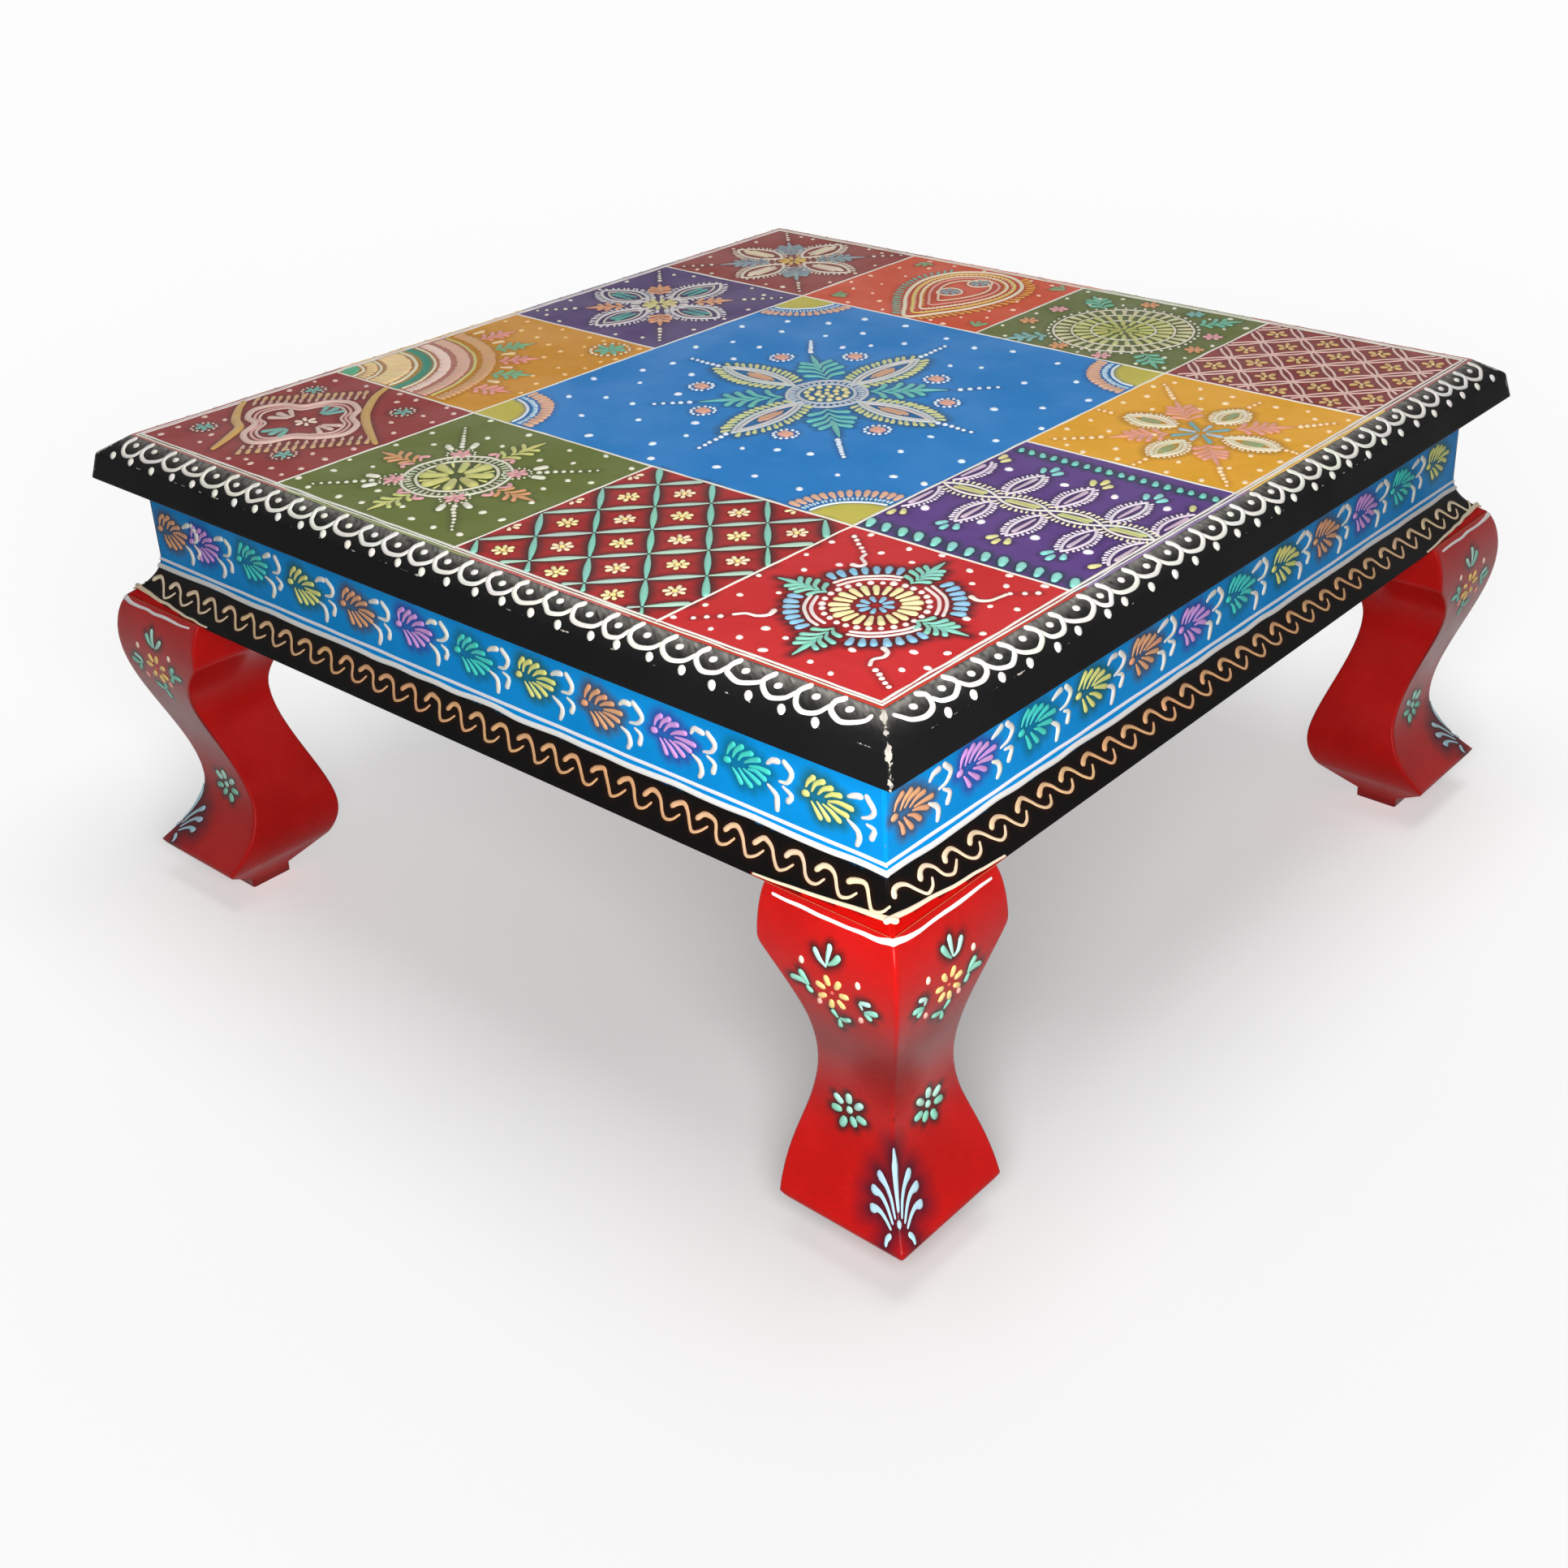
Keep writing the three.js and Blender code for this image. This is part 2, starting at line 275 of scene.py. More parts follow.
def brushed_paint_group():
    """Brushed enamel: mottled, marked by the brush, and chipped down to an undercoat at the edges."""
    tree, given, out = group_tree("brushed paint", "ShaderNodeTree",
                                  {"Paint": (COLOUR, colour("808080")), "Mottle": (VALUE, 0.2),
                                   "Gloss": (VALUE, 0.35), "Edge": (VALUE, 0.0),
                                   "Undercoat": (COLOUR, colour("cfc9c2")), "Chips": (VALUE, 0.5)},
                                  {"Colour": COLOUR, "Roughness": VALUE, "Height": VALUE})
    place = node(tree, "ShaderNodeTexCoord").outputs["Object"]
    cloud = noise(tree, place, 28.0, 3.0)
    brush = noise(tree, place, 240.0, 3.0, (1.0, 1.0, 5.0))
    speck = noise(tree, place, 620.0)
    streaks = math_node(tree, "ADD", cloud, math_node(tree, "MULTIPLY", brush, 0.5))
    shade = ramp(tree, streaks, 0.5, 1.0)
    darker = blend(tree, 1.0, given["Paint"], (0.55, 0.55, 0.55, 1), "MULTIPLY")
    share = math_node(tree, "MULTIPLY", shade, given["Mottle"])
    mottled = blend(tree, share, given["Paint"], darker)
    flakes = math_node(tree, "ADD", noise(tree, place, 150.0, 4.0), math_node(tree, "MULTIPLY", speck, 0.35))
    bare = math_node(tree, "ADD", math_node(tree, "MULTIPLY", given["Edge"], given["Chips"]), flakes)
    chip = ramp(tree, bare, 1.2, 1.26)
    tree.links.new(blend(tree, chip, mottled, given["Undercoat"]), out.inputs["Colour"])
    gloss = ramp(tree, cloud, 0.3, 0.7, -0.06, 0.08)
    tree.links.new(math_node(tree, "ADD", math_node(tree, "ADD", given["Gloss"], gloss),
                             math_node(tree, "MULTIPLY", chip, 0.3)), out.inputs["Roughness"])
    tree.links.new(math_node(tree, "SUBTRACT", math_node(tree, "MULTIPLY", brush, 0.4),
                             math_node(tree, "MULTIPLY", chip, 0.8)), out.inputs["Height"])
    return tree


brushed_paint = brushed_paint_group()


def lacquer(name, shine, gloss, mottle, chips, undercoat="cfc9c2", depth=0.12 * mm):
    """Enamel in the colours kept on the mesh."""
    made, tree, shader = material(name, shine)
    values = {"Paint": node(tree, "ShaderNodeAttribute", attribute_name="paint").outputs["Color"],
              "Edge": node(tree, "ShaderNodeAttribute", attribute_name="edge").outputs["Fac"],
              "Gloss": gloss, "Mottle": mottle, "Chips": chips, "Undercoat": colour(undercoat)}
    coat = node(tree, "ShaderNodeGroup", values, node_tree=brushed_paint)
    finish_with(tree, shader, coat.outputs["Colour"], coat.outputs["Roughness"], coat.outputs["Height"],
                depth)
    return made


def square_ring(inner, outer, height):
    """A square section of a leg from inner to outer reach, with its corners eased."""
    middle, half = (inner + outer) / 2, (outer - inner) / 2
    eased = min(arris_round, half / 3)
    points = []
    for k in range(4):
        pivot = (half - eased) * (1 + 1j) * 1j ** k
        angles = (k + np.arange(corner_steps + 1) / corner_steps) * quarter_turn
        points += list(pivot + eased * np.exp(1j * angles))
        after = (half - eased) * (1 + 1j) * 1j ** (k + 1) + eased * 1j ** (k + 1)
        points += list(points[-1] + (after - points[-1]) * np.arange(1, face_steps) / face_steps)
    points = np.array(points)
    return np.stack([points.real + middle, points.imag + middle, np.full(len(points), height)], 1)


leg_section = corner_section("leg_back_right")
post_inner, post_top = leg_section[0]
post_reach = leg_section[1][0]
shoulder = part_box("apron_right")[0].z
hair = 0.1 * mm
below = leg_section[leg_section[:, 1] < shoulder + hair][::-1]
outer_below = below[below[:, 0] > post_reach + mm]
inner_below = below[below[:, 0] < post_reach - mm]
foot_points = 3
toe_height = outer_below[foot_points][1]
leg_heights = np.concatenate([outer_below[:foot_points, 1], np.arange(toe_height, shoulder, ring_step),
                              [shoulder]])


def sawn(line):
    """Reach at each height along a sawn line, with its facets rubbed down but for its two ends."""
    rub_step, rub_reach = 0.25 * mm, 14
    left_alone, fading = 2 * mm, 5 * mm
    fine = np.arange(0, shoulder, rub_step)
    raw = np.interp(fine, line[:, 1], line[:, 0])
    spread = bell(np.arange(-rub_reach, rub_reach + 1), rub_reach / 2)
    rubbed = np.convolve(np.pad(raw, rub_reach, mode="edge"), spread / spread.sum(), "valid")
    above_toe = np.clip((fine - toe_height - left_alone) / fading, 0, 1)
    under_shoulder = np.clip((shoulder - left_alone - fine) / fading, 0, 1)
    return np.interp(leg_heights, fine, raw + (rubbed - raw) * above_toe * under_shoulder)


leg_reach = sawn(outer_below)
leg_back = sawn(inner_below)
leg_rings = [square_ring(a, b, h) for a, b, h in zip(leg_back, leg_reach, leg_heights)]
leg_rings += [square_ring(post_inner, post_reach, h) for h in (shoulder + hair, post_top)]
red_lacquer = lacquer("red lacquer", shine=0.16, gloss=0.26, mottle=0.5, chips=0.4, undercoat="5a1512")
post_wood = bare_wood("post wood", (8.0, 8.0, 1.0))
worn_width = 2.2 * mm
neck_height, neck_spread, neck_shade_strength = 96 * mm, 22 * mm, 0.6
last_red = len(leg_heights) - 1
legs = {}
for turn, corner in enumerate(corners):
    rings = [turned(ring, turn) for ring in leg_rings]
    leg = stacked("leg_" + corner + "_lacquered", rings, (red_lacquer, post_wood),
                  lambda ring, column: int(ring >= last_red))
    x, y, z = np.abs(corners_of(leg)).T
    reach = np.interp(z, leg_heights, leg_reach)
    arris = bell(2 * reach - x - y, worn_width) * (z < shoulder)
    # Painted shade: the lacquer is darkened round the neck below the knee, on the outer faces, where the
    # knee's shadow falls.
    smear_and_shade = neck_shade_strength * bell(z - neck_height, neck_spread) * (np.maximum(x, y) > reach - mm)
    set_paint(leg, toned("c40d08", "5a1614", smear_and_shade), arris)
    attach(leg, "root")
    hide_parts("leg_" + corner)
    legs[corner] = leg

# Aprons: four mitred rails of wood, each with a hollow foot moulding run along its lower edge.
# The plain face is painted blue, the foot black with the red of the legs carried over its ends, and
# the inside is left bare.
paint_step = 1.5 * mm
rng = np.random.default_rng(11)


def spaced(line, step):
    """The points of a line, with more between them so that none lie further apart than step."""
    points = [line[0]]
    for a, b in zip(line, line[1:]):
        count = max(1, math.ceil(np.linalg.norm(b - a) / step))
        points += [a + (b - a) * (i + 1) / count for i in range(count)]
    return np.array(points)


def arc_lengths(line):
    return np.concatenate([[0], np.cumsum(np.linalg.norm(np.diff(line, axis=0), axis=1))])


def mitred_rail(name, section, turn, finishes, finish_of):
    """A rail along one side. Each point of its section, a reach and a height, ends at the mitre."""
    reach, height = section.T
    shares = np.linspace(-1, 1, round(2 * reach.max() / paint_step) + 1)
    rings = [turned(np.stack([reach, share * reach, height], 1), turn) for share in shares]
    return stacked(name, rings, finishes, finish_of)


def way_down(arc, section, points):
    """How far down a rail's painted outline each point is. The unpainted ones count as its end."""
    down = np.append(arc, np.full(len(section) - len(arc), arc[-1]))
    return np.tile(down, len(points) // len(section))


apron_corners = corner_section("apron_right")
apron_inner = apron_corners[0][0]
apron_face = apron_corners[apron_corners[:, 0] > apron_inner + mm]
under_foot = 6 * mm
apron_outline = spaced(np.array([*apron_face, (apron_face[-1][0] - under_foot, shoulder)]), paint_step)
apron_section = np.array([*apron_outline, (apron_inner, shoulder), (apron_inner, post_top)])
apron_arc = arc_lengths(apron_outline)
halfway = apron_face[:, 0].max()
blue_end, ragged, mitre_width = 43.5 * mm, 0.25 * mm, 1.6 * mm
apron_lacquer = lacquer("apron paint", shine=0.05, gloss=0.4, mottle=0.3, chips=0.4)
apron_wood = bare_wood("apron wood", (1.0, 1.0, 8.0))
red_start = 163 * mm
red_rise = 3.1 * mm
aprons = {}


def red_height(along):
    """How far up over the foot the red of the legs is carried, by the distance from the middle."""
    share = np.clip((along - red_start) / (halfway - red_start), 0, 1)
    return shoulder + red_rise * share ** 1.4


for turn, side in enumerate(sides):
    apron = mitred_rail("apron_" + side + "_painted", apron_section, turn, (apron_lacquer, apron_wood),
                        lambda ring, column: int(column >= len(apron_outline) - 1))
    points = turned(corners_of(apron), (4 - turn) % 4)
    x, y, z = np.abs(points).T
    down = way_down(apron_arc, apron_section, points)
    black_share = np.clip((down - blue_end - rng.normal(0, ragged, len(points))) / mm + 0.5, 0, 1)
    paint = toned("0694e2", "0c0a09", black_share)
    paint[z < red_height(y)] = colour("c80d08")
    set_paint(apron, paint, bell(x - y, mitre_width))
    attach(apron, "root")
    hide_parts("apron_" + side)
    aprons[side] = apron

# Top edges: four mitred mouldings, a bevel over a leaning fascia, painted gloss black. The black
# has dulled and chipped along the crease and at the corners. A rebate carries the panel.
crease_round, under_edge = 1.2 * mm, 8 * mm


def eased_outline(line, radius):
    """An open outline with its inner corners rounded off by a few points each."""
    eased, steps = [line[0]], np.linspace(0, 1, 5)
    for before, corner, after in zip(line, line[1:], line[2:]):
        start = corner + (before - corner) / np.linalg.norm(before - corner) * radius
        end = corner + (after - corner) / np.linalg.norm(after - corner) * radius
        eased += [(1 - t) ** 2 * start + 2 * t * (1 - t) * corner + t * t * end for t in steps]
    return np.array([*eased, line[-1]])


edge_corners = corner_section("top_edge_right")
flat_reach, top_height = edge_corners[0]
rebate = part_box("top_panel")[0].z
edge_inner = edge_corners[-2][0]
edge_line = edge_corners[(edge_corners[:, 0] >= flat_reach) & (np.abs(edge_corners[:, 1] - rebate) > mm)]
edge_line = np.array([*edge_line, (edge_line[-1][0] - under_edge, post_top)])
edge_outline = spaced(eased_outline(edge_line, crease_round), paint_step)
edge_section = np.array([*edge_outline, (edge_inner, post_top), (edge_inner, rebate), (flat_reach, rebate)])
edge_arc = arc_lengths(edge_outline)
black_lacquer = lacquer("black lacquer", shine=0.02, gloss=0.4, mottle=0.4, chips=0.6, undercoat="b9b2a8",
                        depth=0.2 * mm)
edge_wood = bare_wood("edge wood", (1.0, 1.0, 8.0))
smudge_strength, smudge_spread, smudge_depth = 0.34, 0.12, 3.6 * mm
mitre_wear, mitre_width = 1.1, 2.8 * mm
crease_wear, crease_width = 0.75, 0.9 * mm
crease_down = np.linalg.norm(edge_line[1] - edge_line[0])
for turn, side in enumerate(sides):
    piece = mitred_rail("top_edge_" + side + "_painted", edge_section, turn, (black_lacquer, edge_wood),
                        lambda ring, column: int(len(edge_outline) - 1 <= column < len(edge_section) - 1))
    points = turned(corners_of(piece), (4 - turn) % 4)
    x, y = np.abs(points[:, :2]).T
    down = way_down(edge_arc, edge_section, points)
    # A smear of the lace's white paint on the black, fading down from the flat.
    smear_and_shade = np.clip(smudge_strength + rng.normal(0, smudge_spread, len(points)), 0, 1)
    smear_and_shade *= np.exp(-(down / smudge_depth) ** 1.4)
    mitre = mitre_wear * bell(x - y, mitre_width)
    crease = crease_wear * bell(down - crease_down, crease_width)
    set_paint(piece, toned("19191a", "cfcac2", smear_and_shade), np.maximum(mitre, crease))
    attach(piece, "root")
    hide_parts("top_edge_" + side)

# Top panel: a thin board let into the edges, its face painted as a patchwork of coloured
# squares round a large blue one, brushed and then lacquered. A quarter disc of yellow fills each
# corner of the blue square, and the colours are dull beyond the lines round them all.
seams_x = np.array([-110.6, 2.1, 110.4]) * mm
seams_y = np.array([-105.7, 8.0, 116.7]) * mm
seam_gap = 0.3 * mm
patch_paints = (
    ("922d2a", "64702a", "ae1f20", "c92426"),
    ("d6931f", "137fcb", "137fcb", "5b3883"),
    ("4d346c", "137fcb", "137fcb", "eba922"),
    ("90332a", "d64e26", "626c2e", "8f3030"),
)


def lines_between(seams):
    """Grid lines across the panel, even and fine, with a close pair of lines at each seam."""
    stops = [-flat_reach, *seams, flat_reach]
    lines = []
    for i, (a, b) in enumerate(zip(stops, stops[1:])):
        a += seam_gap if i else 0
        b -= seam_gap if i < len(seams) else 0
        lines += list(np.linspace(a, b, round((b - a) / paint_step) + 1))
    return np.array(lines)


def grid_board(name, xs, ys, bottom, top):
    """A closed board whose top face is a grid."""
    grid_x, grid_y = np.meshgrid(xs, ys, indexing="ij")
    upper = np.stack([grid_x.ravel(), grid_y.ravel(), np.full(grid_x.size, top)], 1)
    i, j = np.meshgrid(np.arange(len(xs) - 1), np.arange(len(ys) - 1), indexing="ij")
    first = i * len(ys) + j
    faces = np.stack([first, first + len(ys), first + len(ys) + 1, first + 1], -1).reshape(-1, 4).tolist()
    last_x, last_y = (len(xs) - 1) * len(ys), len(ys) - 1
    rim = [*range(0, last_x, len(ys)), *range(last_x, last_x + last_y),
           *range(last_x + last_y, last_y, -len(ys)), *range(last_y, 0, -1)]
    lower = upper[rim] * (1, 1, 0) + (0, 0, bottom)
    start = len(upper)
    for k in range(len(rim)):
        after = (k + 1) % len(rim)
        faces.append([rim[after], rim[k], start + k, start + after])
    faces.append(list(range(start, start + len(rim)))[::-1])
    mesh = bpy.data.meshes.new(name)
    mesh.from_pydata(np.concatenate([upper, lower]).tolist(), [], faces)
    board = bpy.data.objects.new(name, mesh)
    bpy.context.scene.collection.objects.link(board)
    return board


panel = grid_board("top_panel_painted", lines_between(seams_x), lines_between(seams_y), rebate, top_height)
points = corners_of(panel)
column = np.searchsorted(seams_x, points[:, 0])
row = np.searchsorted(seams_y, points[:, 1])
ground = np.array([[colour(code) for code in codes] for codes in patch_paints])
panel_lacquer = lacquer("panel paint", shine=0.07, gloss=0.38, mottle=0.22, chips=0.0)
panel.data.materials.append(panel_lacquer)
rim_start, rim_dimmed = 211.2 * mm, 0.6
paint = ground[row, column]
paint[np.abs(points[:, :2]).max(axis=1) > rim_start, :3] *= rim_dimmed
set_paint(panel, paint, np.zeros(len(points)))
panel_spots = (points[:, 0] + 1j * points[:, 1]) / mm
disc_places = (109.4 - 104.7j, 109.4 + 115.7j, -109.6 + 115.7j, -109.6 - 104.7j)
disc_reach = 22.5


def within(spots, middle, half):
    """Whether places lie in a rectangle, given as its middle and half its size."""
    return (np.abs(spots.real - middle.real) < half.real) & (np.abs(spots.imag - middle.imag) < half.imag)


def paint_of(piece):
    paint = np.empty(len(piece.data.vertices) * 4, np.float32)
    piece.data.attributes["paint"].data.foreach_get("color", paint)
    return paint.reshape(-1, 4)


def repaint(piece, paint):
    piece.data.attributes["paint"].data.foreach_set("color", paint.ravel())


def flood(share, code):
    """Repaints the panel's ground, by the new paint's share at each of its points."""
    paint = paint_of(panel)
    paint += (np.array(colour(code)) - paint) * share[:, None]
    repaint(panel, paint)


in_middle = within(panel_spots, -0.1 + 5.5j, 110.4 + 111.1j)
for place in disc_places:
    flood(np.clip(disc_reach - np.abs(panel_spots - place), 0, 1) * in_middle, "c9bd4e")
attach(panel, "root")
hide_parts("top_panel")

# Raised paint: every ornament is drawn over the ground colours in thick paint squeezed from a cone,
# so a stroke dries as a rounded bead and a touch of the cone as a small dome.
# Drawings are in millimetres. A curve node makes a bead of each stroke, a little sunk in the ground.
bead_step = 1.1
bead_sides = 5
sunk = 0.06 * mm
GEOMETRY, MATERIAL, WHOLE = "NodeSocketGeometry", "NodeSocketMaterial", "NodeSocketInt"


def unit(way):
    return way / abs(way)


def slip(amount):
    """A small step aside, as the hand makes."""
    return complex(*rng.normal(0, amount, 2))


def jittered(path, amount):
    return [p + slip(amount) for p in path]


def shaken(paint):
    """A paint code as a colour a little off, as hand mixing leaves it."""
    spread = 0.025
    return np.array(colour(paint)) * np.append(1 + rng.normal(0, spread, 3), 1)


def curve_through(points, closed=False):
    """Points close together on a smooth curve through a few places."""
    if len(points) < 3:
        return np.linspace(points[0], points[-1], 9)
    if closed:
        p = np.concatenate([points[-1:], points, points[:2]])
    else:
        p = np.concatenate([2 * points[:1] - points[1:2], points, 2 * points[-1:] - points[-2:-1]])
    t = np.arange(8) / 8
    a, b, c, d = (p[i:len(p) - 3 + i, None] for i in range(4))
    line = (b + (c - a) / 2 * t + (a - 2.5 * b + 2 * c - d / 2) * t ** 2
            + (1.5 * (b - c) + (d - a) / 2) * t ** 3).ravel()
    return line if closed else np.append(line, points[-1])


def run_of(line):
    """How far along a line each of its points is."""
    return np.concatenate([[0], np.cumsum(np.abs(np.diff(line)))])


def places_on(line, run, distances):
    return np.interp(distances, run, line.real) + 1j * np.interp(distances, run, line.imag)


class Drawing:
    """Marks on a flat sheet in millimetres, x to the right and y up, as complex numbers."""

    def __init__(self):
        self.points, self.widths, self.paints, self.links = [], [], [], []
        self.count = 0

    def add(self, points, widths, paint, links):
        self.points.append(points)
        self.widths.append(widths)
        self.paints.append(np.tile(shaken(paint), (len(points), 1)))
        self.links += [(self.count + a, self.count + b) for a, b in links]
        self.count += len(points)

    def dot(self, place, width, paint):
        self.add(np.array([place]), np.array([width]), paint, [])

    def stroke(self, path, widths, paint, closed=False):
        line = curve_through(np.array(path, complex), closed)
        widths = np.atleast_1d(widths).astype(float)
        if not closed:
            line = np.concatenate([[line[0] + unit(line[0] - line[1]) * widths[0] / 2], line,
                                   [line[-1] + unit(line[-1] - line[-2]) * widths[-1] / 2]])
        run = run_of(line)
        total = run[-1]
        if closed:
            places = np.linspace(0, total, max(6, round(total / bead_step)))
            rounding = np.ones(len(places))
        else:
            first, last = (min(w / 2, total / 2.2) for w in (widths[0], widths[-1]))
            middle = np.linspace(first, total - last, max(2, round((total - first - last) / bead_step) + 1))
            start, end = first * np.array([0.03, 0.3]), last * np.array([0.3, 0.03])
            places = np.concatenate([start, middle, total - end])
            from_end = np.minimum(places / first, (total - places) / last).clip(0, 1)
            rounding = np.sqrt(1 - (1 - from_end) ** 2)
        spread = np.interp(places / total, np.linspace(0, 1, len(widths)), widths)
        links = [(i, i + 1) for i in range(len(places) - 1)] + ([(len(places) - 1, 0)] if closed else [])
        self.add(places_on(line, run, places), spread * rounding, paint, links)

    def place(self, other, at=0, turn=1, mirrored=False):
        """Copies another drawing's marks to a place, turned by a complex number."""
        self.points += [(-np.conj(points) if mirrored else points) * turn + at for points in other.points]
        self.widths += other.widths
        self.paints += other.paints
        self.links += [(self.count + a, self.count + b) for a, b in other.links]
        self.count += other.count


def raised_paint_tree():
    """Nodes that make closed beads of the lines of a mesh, and domes of its single points."""
    tree, given, out = group_tree("raised paint", "GeometryNodeTree",
                                  {"Geometry": (GEOMETRY, None), "Fullness": (VALUE, 0.42),
                                   "Sides": (WHOLE, bead_sides), "Finish": (MATERIAL, None)},
                                  {"Geometry": GEOMETRY})
    width = node(tree, "GeometryNodeInputNamedAttribute", {"Name": "width"}).outputs["Attribute"]
    joined = node(tree, "GeometryNodeInputMeshVertexNeighbors").outputs["Vertex Count"]
    alone = node(tree, "FunctionNodeCompare", {2: joined, 3: 0}, data_type="INT",
                 operation="EQUAL").outputs[0]
    parts = node(tree, "GeometryNodeSeparateGeometry", {"Geometry": given["Geometry"], "Selection": alone})
    squash = node(tree, "ShaderNodeCombineXYZ", {0: 1.0, 1: 1.0, 2: given["Fullness"]}).outputs[0]
    flat = node(tree, "ShaderNodeVectorMath", {0: squash, 1: (1.0, 1.0, 2.0)},
                operation="MULTIPLY").outputs[0]
    ball = node(tree, "GeometryNodeMeshUVSphere", {"Segments": 8, "Rings": 5, "Radius": 0.5}).outputs["Mesh"]
    dome = node(tree, "GeometryNodeTransform", {"Geometry": ball, "Scale": flat}).outputs[0]
    domes = node(tree, "GeometryNodeInstanceOnPoints",
                 {"Points": parts.outputs["Selection"], "Instance": dome, "Scale": width}).outputs[0]
    arc = node(tree, "GeometryNodeCurveArc",
               {"Resolution": given["Sides"], "Radius": 0.5, "Start Angle": 0.0, "Sweep Angle": -math.pi},
               mode="RADIUS").outputs["Curve"]
    closed = node(tree, "GeometryNodeSetSplineCyclic", {"Geometry": arc, "Cyclic": True}).outputs[0]
    low = node(tree, "ShaderNodeCombineXYZ", {0: 1.0, 1: given["Fullness"], 2: 1.0}).outputs[0]
    low = node(tree, "ShaderNodeVectorMath", {0: low, 1: (1.0, 2.0, 1.0)}, operation="MULTIPLY").outputs[0]
    section = node(tree, "GeometryNodeTransform", {"Geometry": closed, "Scale": low}).outputs[0]
    line = node(tree, "GeometryNodeMeshToCurve", {"Mesh": parts.outputs["Inverted"]}).outputs[0]
    level_line = node(tree, "GeometryNodeSetCurveNormal", {"Curve": line}, mode="Z_UP").outputs[0]
    beads = node(tree, "GeometryNodeCurveToMesh",
                 {"Curve": level_line, "Profile Curve": section, "Scale": width,
                  "Fill Caps": True}).outputs[0]
    beads = node(tree, "GeometryNodeFlipFaces", {"Mesh": beads}).outputs[0]
    both = node(tree, "GeometryNodeJoinGeometry")
    tree.links.new(domes, both.inputs[0])
    tree.links.new(beads, both.inputs[0])
    real = node(tree, "GeometryNodeRealizeInstances", {"Geometry": both.outputs[0]}).outputs[0]
    done = node(tree, "GeometryNodeSetMaterial", {"Geometry": real, "Material": given["Finish"]}).outputs[0]
    tree.links.new(done, out.inputs[0])
    return tree


raised_paint = raised_paint_tree()
raised_finish = lacquer("raised paint", shine=0.2, gloss=0.4, mottle=0.12, chips=0.0, depth=0.03 * mm)
smooth_angle = math.radians(65)


def raise_paint(name, drawing, surface, fullness):
    """Beads and domes of a drawing's marks, laid on a surface that takes x, y and height in metres."""
    points = np.concatenate(drawing.points) * mm
    mesh = bpy.data.meshes.new(name)
    mesh.from_pydata(np.stack([points.real, points.imag, 0 * points.real], 1).tolist(), drawing.links, [])
    layer = mesh.attributes.new("width", "FLOAT", "POINT")
    layer.data.foreach_set("value", (np.concatenate(drawing.widths) * mm).astype(np.float32))
    layer = mesh.attributes.new("paint", "FLOAT_COLOR", "POINT")
    layer.data.foreach_set("color", np.concatenate(drawing.paints).astype(np.float32).ravel())
    sketch = bpy.data.objects.new(name + "_sketch", mesh)
    bpy.context.scene.collection.objects.link(sketch)
    modifier = sketch.modifiers.new("raised paint", "NODES")
    modifier.node_group = raised_paint
    for item in raised_paint.interface.items_tree:
        if item.name in ("Fullness", "Finish") and item.in_out == "INPUT":
            modifier[item.identifier] = fullness if item.name == "Fullness" else raised_finish
    ready = sketch.evaluated_get(bpy.context.evaluated_depsgraph_get())
    plain = bpy.data.meshes.new_from_object(ready)
    bpy.data.objects.remove(sketch)
    piece = bpy.data.objects.new(name, plain)
    bpy.context.scene.collection.objects.link(piece)
    flat = corners_of(piece)
    laid = surface(flat[:, 0], flat[:, 1], flat[:, 2] - sunk)
    plain.vertices.foreach_set("co", laid.astype(np.float32).ravel())
    plain.attributes.remove(plain.attributes["width"])
    plain.shade_smooth()
    plain.set_sharp_from_angle(angle=smooth_angle)
    plain.update()
    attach(piece, "root")


def shade_round(piece, drawing, surface, tint, reach, strength):
    """Darkens the ground softly round a drawing's marks, as the painter does before drawing them."""
    points = np.concatenate(drawing.points) * mm
    places = surface(points.real, points.imag, 0 * points.real)
    widths = np.concatenate(drawing.widths) * mm / 2
    near = KDTree(len(places))
    for index, place in enumerate(places):
        near.insert(place, index)
    near.balance()
    paint = paint_of(piece)
    spots = corners_of(piece)
    low, high = places.min(0) - reach, places.max(0) + reach
    tint = np.array(colour(tint))
    for index in np.flatnonzero(((spots > low) & (spots < high)).all(1)):
        _, which, gap = near.find(spots[index])
        share = strength * (1 - min(1, max(0, gap - widths[which]) / reach))
        paint[index] += (tint - paint[index]) * share
    repaint(piece, paint)


# Lines of the panel: white seams between the patches and a double white line round them all, with a
# strip of the patches' own colours outside it. They were ruled by hand, so they wander and vary.
line_white, near_strip, strip_paleness = "eae7dd", "b3321f", 0.35
strip_reach, strip_parts, strip_width = 213.7, 15, 1.2
seam_lines = ((-110.6 - 210.9j, -110.6 + 210.9j), (110.4 - 210.9j, 110.4 + 210.9j),
              (2.1 - 210.9j, 2.1 - 105.7j), (2.1 + 116.7j, 2.1 + 210.9j), (-210.9 - 105.7j, 210.9 - 105.7j),
              (-210.9 + 116.7j, 210.9 + 116.7j), (-210.9 + 8j, -110.6 + 8j), (110.4 + 8j, 210.9 + 8j))


def panel_surface(x, y, h):
    return np.stack([x, y, top_height + h], 1)


def mixed(a, b, share):
    """A paint code part of the way from one to another."""
    pairs = [(int(a[i:i + 2], 16), int(b[i:i + 2], 16)) for i in (0, 2, 4)]
    return "".join(f"{round(low + (high - low) * share):02x}" for low, high in pairs)


def ruled(marks, start, end, width, paint):
    """A line drawn along a rule by an unsteady hand."""
    count = max(4, round(abs(end - start) / 8))
    along = start + (end - start) * np.linspace(0, 1, count)
    marks.stroke(jittered(along, 0.12), width * rng.normal(1, 0.12, count), paint)


